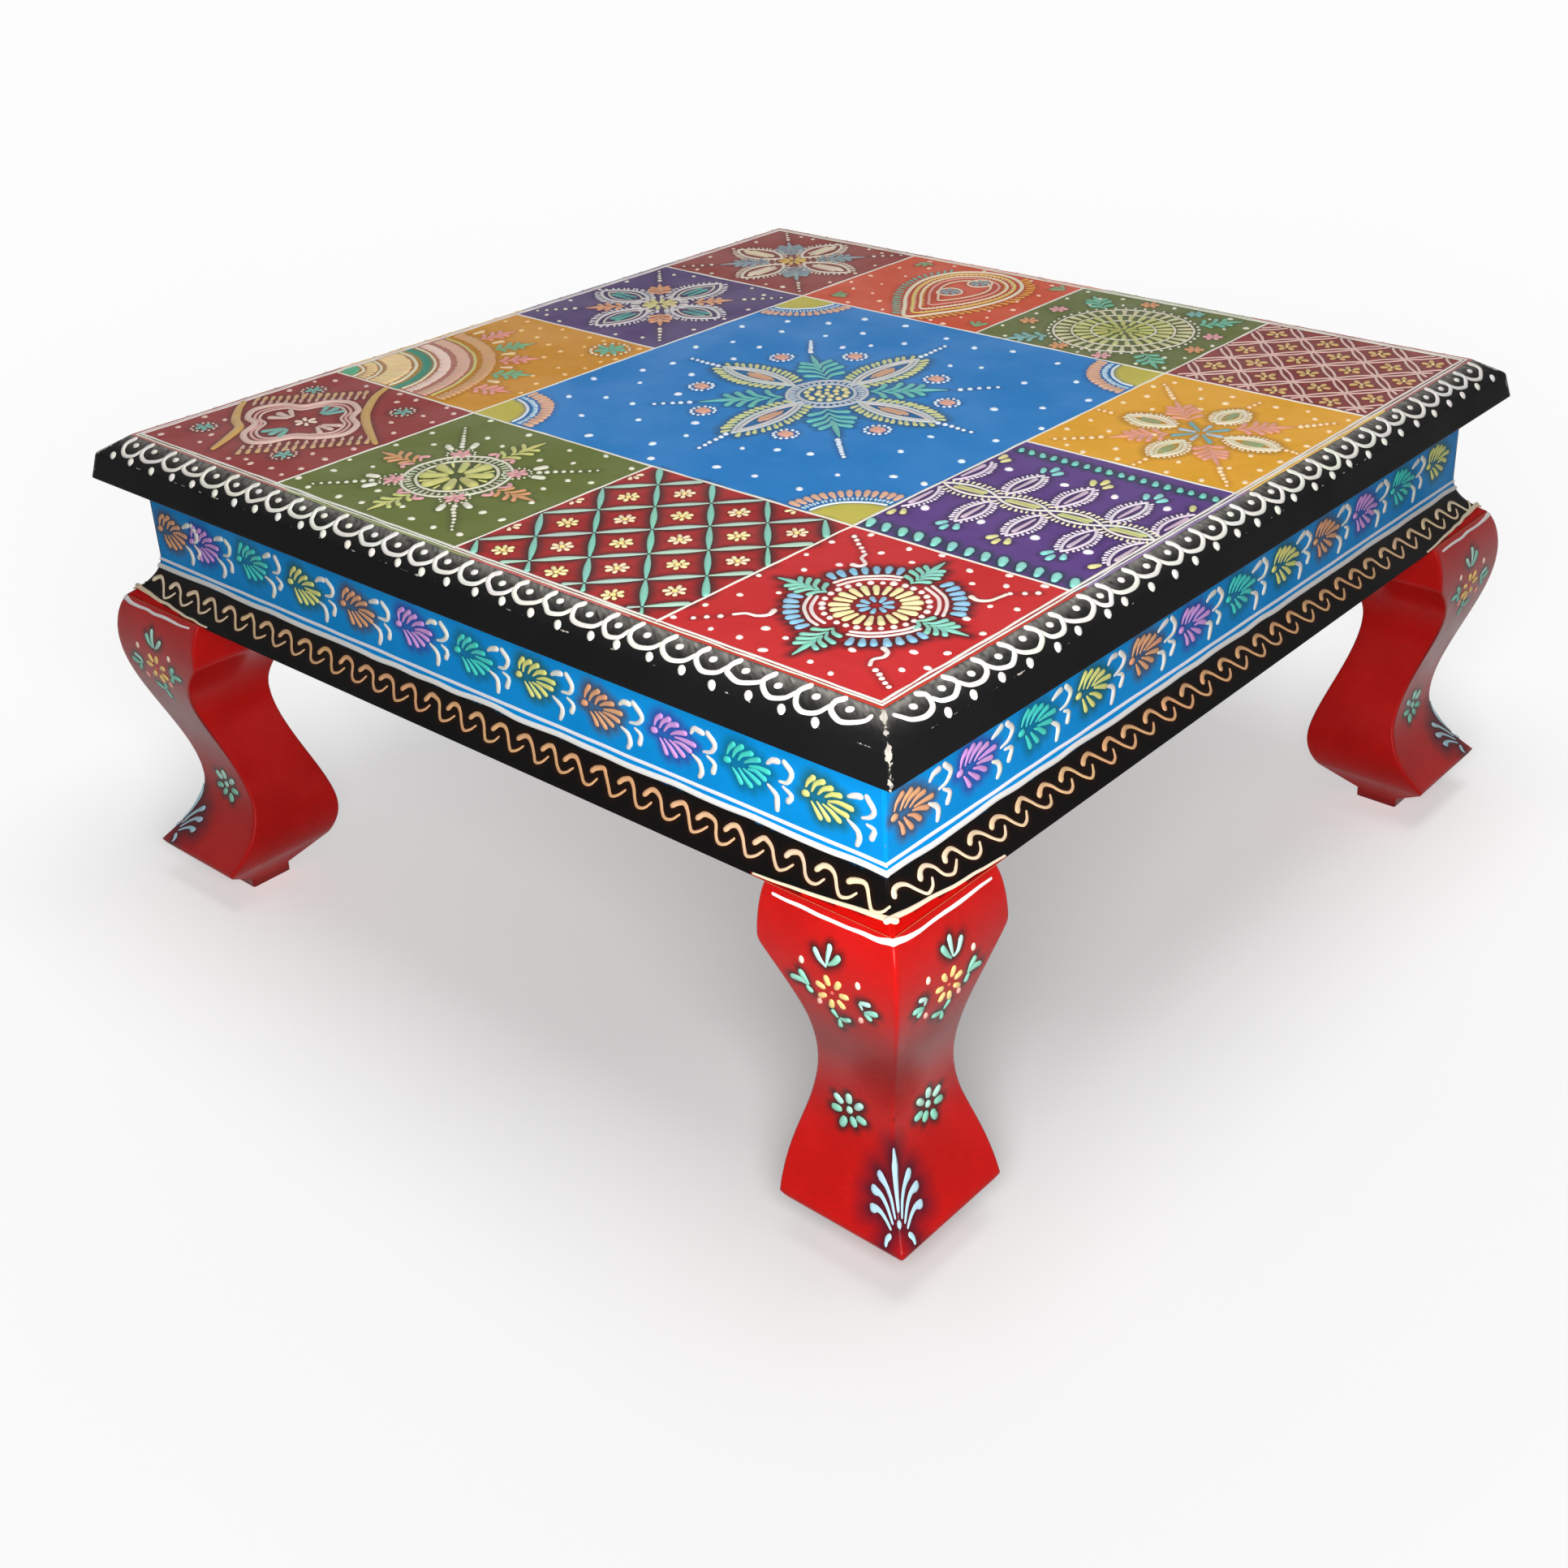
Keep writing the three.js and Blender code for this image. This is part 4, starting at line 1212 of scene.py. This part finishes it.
dots = strewn((8 + 206j, 30 + 205j, 92 + 206j, 106 + 197j, 6 + 190j, 8 + 160j, 107 + 164j, 106 + 141j,
               6 + 134j, 26 + 121j, 92 + 121j, 106 + 123j, 60 + 206j, 36 + 196j, 84 + 200j, 20 + 199j,
               22 + 187j, 98 + 190j, 98 + 136j, 17 + 121j, 60 + 120j, 20 + 140j), 2.1, pearl)
paint_patch("green_ornament", marks, "1c240a", 2.6, 0.5, dots)

# Beside it, on orange red: one large paisley leaf in bands of cream, yellow and pink with a golden
# fringe on its right and a teal one on its left.
leaf_outline = np.array([-43 + 119j, -33 + 132j, -24 + 150j, -19.5 + 172j, -24 + 192j, -37 + 204j,
                         -54 + 206j, -69 + 198j, -76 + 182j, -74 + 165j, -66 + 148j, -55 + 133j])
leaf_heart = -49 + 176j
marks = Drawing()
for share, width, paint in ((0, 2.2, "f0dcc0"), (0.13, 1.8, "e3c867"), (0.26, 1.6, "f0dcc0"),
                            (0.4, 1.6, "dd9f92"), (0.55, 1.4, "e9cfb4")):
    marks.stroke(leaf_outline + (leaf_heart - leaf_outline) * share, [width], paint, closed=True)
for share, width, length, paint in ((0.065, 1.4, 2.8, "dd9f92"), (0.2, 1.3, 2.6, "efe0c4"),
                                    (0.33, 1.3, 2.8, "e3c867")):
    line = curve_through(leaf_outline + (leaf_heart - leaf_outline) * share, closed=True)
    fringed(marks, line[::-1], 62, length, width, paint, lean=0.0)
right_edge = curve_through(leaf_outline[:6])
left_edge = curve_through(np.append(leaf_outline[7:], leaf_outline[0]))
fringed(marks, right_edge[::-1] + 1.4, 24, 5.6, 2.2, "d9a24e", lean=-0.5)
fringed(marks, left_edge[::-1] - 1.4, 22, 5.2, 2.1, "76aa98", lean=0.5)
for spot in (-47.5 + 187j, -51.5 + 166j):
    rays(marks, spot, 3.0, 7, 4.6, 2.8, "8a9aa2")
    ring(marks, spot, 6.6, 1.2, "f0dcc0")
for spot, turn in ((-4 + 202j, 3), (-4 + 125j, 1.9), (-98 + 126j, 0.9), (-98 + 203j, -0.8)):
    for side in (-1, 0, 1):
        aim = np.exp(1j * (turn + 0.6 * side))
        daub(marks, spot + 3.6 * aim, aim, 8, 3.0, "7f9c72")
dots = strewn((-14 + 205j, -9 + 186j, -12 + 171j, -5 + 158j, -14 + 150j, -8 + 140j, -19 + 133j, -20 + 119.5j,
               -29 + 121j, -60 + 121j, -71 + 132j, -83 + 141j, -83 + 121j, -97 + 142j, -90 + 157j,
               -105 + 166j, -89 + 176j, -102 + 187j, -88 + 195j, -79 + 206j, -96 + 206j, -106 + 151j,
               -60 + 207.5j, -28 + 206j), 2.1, "f0d0b8")
paint_patch("paisley_ornament", marks, "6a2410", 2.4, 0.5, dots)

# The far left patch, on red brown: a flower of four cream petals with grey-blue buds between them.
marks = Drawing()
centre = -160 + 165j
for k in range(4):
    way = 1j ** k
    start, end = centre + 8 * way, centre + 41 * way
    for side in (-1, 1):
        marks.stroke(side_of(start, end, 8.4 * side), [1.8], "e2d5c4")
        fringed_petal(marks, start, end, side, 9.4, 14, 3.2, 1.5, "e2d5c4", lean=0.4)
        daub(marks, centre + (24 + 2.4j * side) * way, way, 17, 3.0, "dcc7ae")
    daub(marks, centre + 25 * way, way, 22, 3.2, "e9dcc6")
    bud = way * np.exp(0.25j * math.pi)
    sprig(marks, centre + 12 * bud, centre + 40 * bud, "8fa0a6", width=2.9, pairs=4)
    dot_row(marks, (centre + 45 * bud, centre + 60 * bud), 4, 2.6, 1.8, "e2d5c4")
rays(marks, centre, 4.4, 9, 6, 2.6, "d9b96a")
dots = strewn([centre + p for p in (-44 + 18j, -44 - 20j, 44 + 18j, 45 - 21j, 20 + 42j, -21 + 41j, 19 - 43j,
                                    -20 - 44j, -30 + 41j, 31 + 40j, 30 - 42j, -32 - 43j, -45, 45)], 2.1,
              "e2d5c4")
paint_patch("far_flower", marks, "2c120c", 3.0, 0.5, dots)

# Next to it, on purple: a flower of four outlined petals with teal hearts, orange buds between them
# and dotted rows to the corners.
marks = Drawing()
centre = -162 + 63j
for k, reach in enumerate((42, 46, 43, 45)):
    way = 1j ** k
    start, end = centre + 9 * way, centre + reach * way
    for side in (-1, 1):
        marks.stroke(side_of(start, end, 9.6 * side), [1.8], "d9d5d6")
        marks.stroke(side_of(start + 4 * way, end - 5 * way, 6.2 * side), [1.3], "cfc6ba")
        fringed_petal(marks, start, end, side, 10.6, 15, 3.4, 1.5, "d9d5d6", lean=0.4)
        daub(marks, centre + (26 + 1.9j * side) * way, way, 15, 3.0, "5fa098")
    bud = way * np.exp(0.25j * math.pi)
    sprig(marks, centre + 18 * bud, centre + 38 * bud, "d9a07a", width=2.8)
    dot_row(marks, (centre + 44 * bud, centre + 63 * bud), 5, 2.8, 1.8, "e4dccb")
rays(marks, centre, 5.2, 10, 7.6, 3.2, "d0c68c")
rays(marks, centre, 12.4, 18, 5, 3.0, "d0cccc")
dots = strewn([centre + p for p in (-45 + 20j, -44 - 22j, 45 + 19j, 46 - 22j, 20 + 49j, -22 + 48j, 19 - 50j,
                                    -21 - 51j, -33 + 44j, 34 + 43j, 34 - 46j, -35 - 47j, 46, -46 + 1j)], 2.1,
              "e4dccb")
paint_patch("purple_flower", marks, "1d1026", 3.0, 0.5, dots)

# The left patch, on orange: bands in quarter rings round its near corner, painted flat and edged
# with daubs, with green and pink sprays beyond them.
fan = -210 - 105j
from_fan = np.abs(panel_spots - fan)
in_patch = (panel_spots.real < -110.6) * (panel_spots.imag > -105.7)
for low, high, code in ((11, 37, "c99a6c"), (38.5, 45, "2f8f78"), (46, 64, "c9877a")):
    flood(np.clip(from_fan - low, 0, 1) * np.clip(high - from_fan, 0, 1) * in_patch, code)
marks = Drawing()
rays(marks, fan, 5.6, 4, 8, 3.4, "5fb089", start=0.05, span=quarter_turn - 0.1)
for radius, width, paint in ((11.5, 1.5, cream_white), (20, 1.3, cream_white), (36.4, 1.8, cream_white),
                             (45.4, 1.5, cream_white), (64.4, 1.6, "d3c977")):
    ring(marks, fan, radius, width, paint, start=0.06, span=quarter_turn - 0.1)
for radius, count, length, width, paint in ((15.6, 9, 5.4, 2.1, "e9cf9c"), (28, 17, 12, 3.2, "e9cf9c"),
                                            (50, 38, 5.6, 2.1, "ecd3c6"), (58.5, 44, 6.4, 2.4, "d9b09c"),
                                            (70.5, 34, 6.6, 3.8, "d2a478")):
    rays(marks, fan, radius, count, length, width, paint, start=0.03, span=quarter_turn - 0.06)
for angle, paint in ((17, "df958a"), (32, "78ab84"), (47, "df958a"), (62, "78ab84"), (77, "df958a")):
    aim = np.exp(1j * math.radians(angle))
    sprig(marks, fan + 75.5 * aim, fan + 95 * aim, paint, width=2.8)
    daub(marks, fan + 80 * aim * np.exp(0.13j), aim, 7, 3.4, "e6c9a0")
rays(marks, -127 - 6j, 4, 7, 7, 3.8, "6fae93")
dots_round(marks, -127 - 6j, 9.4, 18, 1.9, cream_white)
dots = strewn((-117 - 22j, -132 - 20j, -145 - 22j, -117 - 45j, -127 - 40j, -141 - 10j, -150 + 2j, -160 - 5j,
               -171 + 3j, -182 - 2j, -196 + 2j, -206 - 4j, -140 + 2j, -116 + 3j, -118 - 62j, -128 - 55j,
               -158 - 18j, -116 - 33j, -145 - 33j, -172 - 13j, -187 - 10j, -114 - 15j, -114 - 75j), 2.2,
              "ecc68c")
paint_patch("fan_ornament", marks, "7a4410", 2.4, 0.45, dots)

# Lace along the top edges: white loops hang from the rim of the flat, each with a dot inside it
# and another under each joint. The wet white was smudged into the black above it.
white = "e9e7df"
loops_per_side = 28
loop_depth = 9.4


def side_surface(line, turn):
    """Lays a sheet on one side of the table: x runs along the side, y is minus the way down the line."""
    arc = arc_lengths(line)
    ahead = np.gradient(line, axis=0)
    normal = np.stack([-ahead[:, 1], ahead[:, 0]], 1) / np.linalg.norm(ahead, axis=1)[:, None]

    def surface(x, y, h):
        reach = np.interp(-y, arc, line[:, 0]) + h * np.interp(-y, arc, normal[:, 0])
        height = np.interp(-y, arc, line[:, 1]) + h * np.interp(-y, arc, normal[:, 1])
        return turned(np.stack([reach, x, height], 1), turn)
    return surface


def lace(leaning):
    """Loops and dots along one side. The steeper half of each loop is on its left, or on its right."""
    marks, placed = Drawing(), Drawing()
    cusps = np.linspace(-flat_reach / mm + 2.5, flat_reach / mm - 2.5, loops_per_side + 1)
    cusps[1:-1] += rng.normal(0, 0.7, loops_per_side - 1)
    for start, end in zip(cusps, cusps[1:]):
        run = end - start
        depth = loop_depth + rng.normal(0, 0.5)
        path = [start + 2.8 - 1.1j, start + 0.5 - 3.2j, start + 0.2 - 5.6j, start + 2.2 - 0.84j * depth,
                start + 0.42 * run - 1j * depth, start + 0.76 * run - 0.86j * depth, end - 0.9 - 5.6j,
                end + 0.4 - 3.8j]
        marks.stroke(jittered(path, 0.22), [2.3, 2.3, 2.2, 2.1, 2.0, 2.0, 1.9, 1.8], white)
        spot = start + 0.47 * run - 4.4j + slip(0.4)
        marks.stroke([spot - 0.4 - 0.15j, spot + 0.4 + 0.15j], [2.4, 2.6], white)
        drop = start - 1.8 - 1j * (11.4 + abs(rng.normal(0, 0.8)))
        marks.stroke([drop - 0.5 + 0.5j, drop + 0.5 - 0.5j], [2.8, 3.1], white)
    placed.place(marks, mirrored=not leaning)
    return placed


for turn, side in enumerate(sides):
    marks = lace(leaning=side in ("front", "left"))
    raise_paint("lace_" + side, marks, side_surface(edge_outline, turn), fullness=0.32)

# Apron ornament: a row of leaf sprays in four colours with white flourishes between them, over
# two white lines. The blue is darkened in the spray's own hue before the leaves are drawn.
sprays_per_side = 12
row_start, spray_down = -208, 24.3
spray_paints = (("dca077", "4a3f3c"), ("d09adb", "33409c"), ("43cfc4", "0a6a86"), ("dcdc82", "1f5a4c"))
leaf_paths = ((0.4 + 2.4j, 1.6 + 5.2j, 4 + 7.2j), (3 + 1.8j, 5 + 4.8j, 8.2 + 7j),
              (5.6 + 1.4j, 8.2 + 4.2j, 12 + 5.8j), (8.6 + 1j, 11.6 + 2.8j, 15.6 + 3.8j),
              (10.6 + 0.2j, 15 + 0.8j, 19.8 + 0.6j), (10 - 1j, 13.6 - 1.6j, 17.6 - 2.8j),
              (7.6 - 1.6j, 10.8 - 3.2j, 14.2 - 5.6j), (5.2 - 2j, 7.6 - 4.4j, 10 - 7j),
              (2.8 - 2.4j, 4.2 - 4.6j, 5.4 - 7.2j))
flourish_paths = (((18.8 + 5.4j, 21 + 6.8j, 24 + 7.6j), (1.3, 2.5, 2.7)),
                  ((24 - 0.3j, 28.2 + 0.7j, 30.2 + 4.4j, 27.2 + 7.8j), (1.1, 1.9, 2.6, 2.4)),
                  ((26.4 - 1.8j, 29.6 - 3.8j, 28.4 - 7j), (1.1, 2.2, 2.7)),
                  ((18.8 - 3.6j, 22.6 - 5.8j, 23 - 8.7j, 22 - 11.8j), (1.1, 2.2, 2.6, 1.9)))


def leaf_spray(paint):
    marks = Drawing()
    for path in leaf_paths:
        marks.stroke(jittered(path, 0.2), [0.8, 1.9, 2.5], paint)
    marks.stroke([-0.4 + 0j, 0.5 + 0.2j], [2.6, 3.0], paint)
    return marks


def flourishes():
    marks = Drawing()
    for path, widths in flourish_paths:
        marks.stroke(jittered(path, 0.3), widths, white)
    return marks


for turn, side in enumerate(sides):
    surface = side_surface(apron_outline, turn)
    row_marks = Drawing()
    begun, pitch = (-219, 36.1) if side in ("front", "left") else (-207.5, 35.4)
    for k in range(sprays_per_side):
        paint, ground = spray_paints[k % len(spray_paints)]
        at = complex(max(begun + pitch * k, row_start) + rng.normal(0, 0.4), rng.normal(0, 0.4) - spray_down)
        tilt = np.exp(1j * rng.normal(0, 0.05))
        spray = Drawing()
        spray.place(leaf_spray(paint), at, tilt)
        shade_round(aprons[side], spray, surface, ground, 4.2 * mm, 0.9)
        row_marks.place(spray)
        if k < sprays_per_side - 1 or begun < row_start:
            row_marks.place(flourishes(), at)
    for down, width, wander, paint in ((40.2, 1.6, 0.08, "f4f6f8"), (43.4, 2.3, 0.22, "f2efe9")):
        end = np.interp(down * mm, apron_arc, apron_outline[:, 0]) / mm
        along = np.linspace(-end, end, 36)
        row_marks.stroke(along - 1j * (down + rng.normal(0, wander, len(along))), [width], paint)
    raise_paint("apron_ornament_" + side, row_marks, surface, fullness=0.3)

# Running scroll on the black foot: one running S after another, each begun with a fat round end.
# The paint is cream near the legs and peach between them, and a cream line edges the legs' red.
scroll_pitch, scrolls_per_side = 13.8, 31
scroll_start, cream_run = -214, 120
scroll_path = (0 - 50.6j, 1.6 - 48.9j, 4.4 - 48.4j, 7.4 - 50.3j, 10.4 - 54.1j, 13.3 - 56.2j, 16.2 - 55.3j,
               18.2 - 52.7j)
scroll_widths = (2.7, 2.2, 1.7, 1.4, 1.3, 1.3, 1.3, 1.0)
cream, peach = "f3e2c4", "dba676"
for turn, side in enumerate(sides):
    marks = Drawing()
    for k in range(scrolls_per_side):
        start = scroll_start + scroll_pitch * k + rng.normal(0, 0.4)
        peach_share = min(1, (-scroll_start - abs(start)) / cream_run)
        path = [start + p for p in scroll_path]
        marks.stroke(jittered(path, 0.22), scroll_widths, mixed(cream, peach, peach_share))
    surface = side_surface(apron_outline, turn)
    shade_round(aprons[side], marks, surface, "2a1206", 1.6 * mm, 0.7)
    for end in (-1, 1):
        along = np.linspace(red_start / mm, halfway / mm - 2.4, 12)
        heights = red_height(along * mm) + 0.5 * mm
        down = np.interp(-heights, -apron_outline[:, 1], apron_arc) / mm
        marks.stroke(end * along - 1j * (down + rng.normal(0, 0.15, 12)), [0.9, 1.3, 1.6, 2.4], cream)
    raise_paint("foot_scroll_" + side, marks, surface, fullness=0.34)

# Ornament of the legs: the same small flowers on both outer faces of each leg, mirrored at the
# arris, with a palmette on the toe and a thin white line under the aprons. The flowers' leaves and
# the palmette were drawn over a dark smudge brushed into the wet red.
mint, pale_mint, ice_blue, petal_yellow, blush = "8ecdb8", "b4e0d2", "b4d8e4", "f0cf86", "f3b3a4"
white_line_height, line_end = 150.1, 53.0
flower_heart, flower_petals, petal_reach = 28 + 123.3j, 7, 5.1
bloom_heart = 20 + 57.4j


def leg_surface(turn):
    """Lays a sheet round a leg's outer arris: x runs from one face to the other, y is the height."""
    def surface(x, y, h):
        reach = np.interp(y, leg_heights, leg_reach)
        out, along = reach + h, reach - np.abs(x)
        first = x < 0
        return turned(np.stack([np.where(first, out, along), np.where(first, along, out), y], 1), turn)
    return surface


def face_flowers():
    """The flowers on one face of a leg, x from the arris, and the marks that have a dark ground."""
    shaded, plain = Drawing(), Drawing()
    for path, widths, paint in (
            ((30 + 134.6j, 29.2 + 138j, 28.4 + 142j), (0.8, 1.9, 2.4), pale_mint),
            ((29.4 + 134.4j, 27 + 136.6j, 24.8 + 139.2j), (0.8, 2.2, 2.6), mint),
            ((30.8 + 134j, 33 + 135.6j, 34.8 + 138.2j), (0.8, 2.2, 2.5), pale_mint),
            ((14.6 + 122j, 15.8 + 124.6j, 12.4 + 126j), (0.8, 2.0, 2.2), pale_mint),
            ((14 + 121.4j, 11.4 + 121.8j, 9 + 122.8j), (1.0, 2.6, 2.6), mint),
            ((13.6 + 120.6j, 11.6 + 119.4j), (1.2, 2.6), mint),
            ((38.6 + 122.6j, 40.4 + 125j, 42 + 126.6j), (0.9, 2.4, 2.6), mint),
            ((38.8 + 122j, 42 + 122.8j, 45.2 + 122.6j), (0.9, 2.6, 2.4), mint),
            ((39 + 120.8j, 37.6 + 119.6j), (1.6, 2.6), mint),
            ((24.6 + 111.6j, 22.4 + 112j, 20.6 + 113j), (1.0, 2.4, 2.4), mint),
            ((24.8 + 110.8j, 24.6 + 108.4j), (1.2, 2.8), mint),
            ((25.6 + 112.2j, 27.6 + 114.4j), (1.0, 2.5), mint)):
        shaded.stroke(jittered(path, 0.2), widths, paint)
    for k in range(flower_petals):
        away = np.exp(2j * math.pi * (k + 0.3) / flower_petals)
        petal = flower_heart + petal_reach * away
        plain.stroke([petal - away, petal + away], [2.2, 2.9], petal_yellow)
    plain.dot(flower_heart + 0.2j, 1.7, "e7685a")
    for spot, paint in ((16.6 + 132j, "f7ddca"), (41.4 + 132j, "f7ddca"), (15.4 + 116.6j, blush),
                        (33.6 + 116.4j, blush)):
        plain.stroke([spot - 0.4j, spot + 0.4j], [2.3, 2.3], paint)
    for spot in (15.6 + 61.4j, 20.2 + 63j, 25 + 60.6j, 26 + 55.8j, 23.2 + 51.6j, 18.4 + 53.4j, 14.6 + 55.6j,
                 20 + 57.6j):
        away = (spot - bloom_heart) / 6
        paint = pale_mint if spot.imag > 56 else mint
        shaded.stroke([spot - away, spot + away + 0.3j], [2.9, 3.2], paint)
    return shaded, plain


def toe_palmette():
    marks = Drawing()
    marks.stroke([0.1 + 51j, 0.3 + 47j, 0.1 + 42j, 0.2 + 33.5j], [0.8, 2.9, 2.2, 1.2], ice_blue)
    for side in (-1, 1):
        for path, widths in (((1.8 + 31.4j, 2.8 + 35.4j, 4.6 + 38.4j, 6.8 + 40.2j), (1.0, 1.5, 2.0, 3.6)),
                             ((3.2 + 29.8j, 5 + 33j, 7.4 + 35.2j, 10.2 + 35.6j), (1.0, 1.5, 1.9, 3.5)),
                             ((4.4 + 28.2j, 6.8 + 30.2j, 9.4 + 31.2j, 11.8 + 30.8j), (1.0, 1.4, 1.7, 3.0)),
                             ((4.8 + 26.4j, 6.6 + 25.2j, 7.4 + 23.8j), (1.2, 1.6, 1.2))):
            marks.stroke([complex(side * p.real, p.imag) for p in path], widths, ice_blue)
    marks.dot(30.2j, 2.2, ice_blue)
    return marks


for turn, corner in enumerate(corners):
    surface = leg_surface(turn)
    shaded, plain, palmette = Drawing(), Drawing(), toe_palmette()
    for mirrored in (False, True):
        dark, light = face_flowers()
        shaded.place(dark, mirrored=mirrored)
        plain.place(light, mirrored=mirrored)
    along = np.linspace(-line_end, line_end, 17)
    heights = white_line_height + 1.2 * np.exp(-np.abs(along) / 6) + rng.normal(0, 0.15, len(along))
    plain.stroke(along + 1j * heights, [1.0, 1.3, 1.1, 1.8, 1.2, 1.4, 0.9], "f6f1ec")
    shade_round(legs[corner], shaded, surface, "1c0b0a", 3.2 * mm, 1.0)
    shade_round(legs[corner], palmette, surface, "56081e", 9.0 * mm, 0.95)
    shade_round(legs[corner], palmette, surface, "360618", 2.6 * mm, 0.5)
    shaded.place(plain)
    shaded.place(palmette)
    raise_paint("leg_ornament_" + corner, shaded, surface, fullness=0.32)

# The lamps: a near key lamp by the table's front right corner and a broad one overhead, in pale
# surroundings that the camera sees brighter than they shine.
surround_light, surround_seen = 0.15, 0.97
lamps = (("key lamp", (0.46, -0.51, 0.36), (0, 0, 0.16), 0.28, 3.4),
         ("overhead lamp", (0.2, -0.07, 1.45), (0, 0, 0.2), 0.85, 9.0))
for name, place, target, size, power in lamps:
    light = bpy.data.lights.new(name, "AREA")
    light.shape = "DISK"
    light.size = size
    light.energy = power
    made = bpy.data.objects.new(name, light)
    made.visible_camera = False
    bpy.context.scene.collection.objects.link(made)
    aim = (Vector(target) - Vector(place)).to_track_quat("-Z", "Y")
    made.matrix_world = Matrix.Translation(place) @ aim.to_matrix().to_4x4()


def seen_by_eye(tree):
    """One for rays that go straight to the eye, or there by a mirror or through glass."""
    path = node(tree, "ShaderNodeLightPath")
    seen = math_node(tree, "MAXIMUM", path.outputs["Is Camera Ray"], path.outputs["Is Glossy Ray"])
    return math_node(tree, "MAXIMUM", seen, path.outputs["Is Transmission Ray"])


world = bpy.data.worlds.new("surroundings")
bpy.context.scene.world = world
world.use_nodes = True
tree = world.node_tree
tree.nodes.clear()
strength = ramp(tree, seen_by_eye(tree), 0, 1, surround_light, surround_seen)
air = node(tree, "ShaderNodeBackground", {"Color": (1, 1, 1, 1), "Strength": strength})
node(tree, "ShaderNodeOutputWorld", {"Surface": air.outputs[0]})

# The floor: plain and pale. It glows a little wherever the lamps would leave it grey, so that only
# the table's own shadow shows on it. To light that it throws on the table it is a plain grey.
floor_reach, floor_grey = 6, 0.34
floor_mesh = bpy.data.meshes.new("floor")
floor_corners = [(x * floor_reach, y * floor_reach, 0) for x, y in ((-1, -1), (1, -1), (1, 1), (-1, 1))]
floor_mesh.from_pydata(floor_corners, [], [(0, 1, 2, 3)])
floor = bpy.data.objects.new("floor", floor_mesh)
bpy.context.scene.collection.objects.link(floor)
floor_finish = bpy.data.materials.new("pale floor")
floor_finish.use_nodes = True
tree = floor_finish.node_tree
tree.nodes.clear()
floor_seen, floor_share = 0.985, 0.78


def dot_product(tree, a, b):
    return node(tree, "ShaderNodeVectorMath", {0: a, 1: b}, operation="DOT_PRODUCT").outputs["Value"]


spot = node(tree, "ShaderNodeTexCoord").outputs["Object"]
open_light = surround_light
for name, place, target, size, power in lamps:
    away = node(tree, "ShaderNodeVectorMath", {0: place, 1: spot}, operation="SUBTRACT").outputs[0]
    aim = (Vector(place) - Vector(target)).normalized()
    facing = math_node(tree, "MULTIPLY", dot_product(tree, away, (0, 0, 1)), dot_product(tree, away, aim))
    thinned = math_node(tree, "POWER", dot_product(tree, away, away), 2.0)
    reached = math_node(tree, "MAXIMUM", math_node(tree, "DIVIDE", facing, thinned), 0.0)
    from_lamp = math_node(tree, "MULTIPLY", reached, power / math.pi ** 2)
    open_light = math_node(tree, "ADD", open_light, from_lamp)
share = math_node(tree, "MINIMUM", math_node(tree, "DIVIDE", floor_share, open_light), floor_share)
glow = math_node(tree, "SUBTRACT", floor_seen, math_node(tree, "MULTIPLY", share, open_light))
plain = node(tree, "ShaderNodeBsdfDiffuse", {"Color": (floor_grey, floor_grey, floor_grey, 1)})
lit = node(tree, "ShaderNodeBsdfDiffuse", {"Color": share})
glowing = node(tree, "ShaderNodeEmission", {"Color": (1, 1, 1, 1), "Strength": glow})
pale = node(tree, "ShaderNodeAddShader", {0: lit.outputs[0], 1: glowing.outputs[0]})
either = node(tree, "ShaderNodeMixShader", {0: seen_by_eye(tree), 1: plain.outputs[0], 2: pale.outputs[0]})
node(tree, "ShaderNodeOutputMaterial", {"Surface": either.outputs[0]})
floor.data.materials.append(floor_finish)

bpy.context.scene.view_settings.view_transform = "Standard"
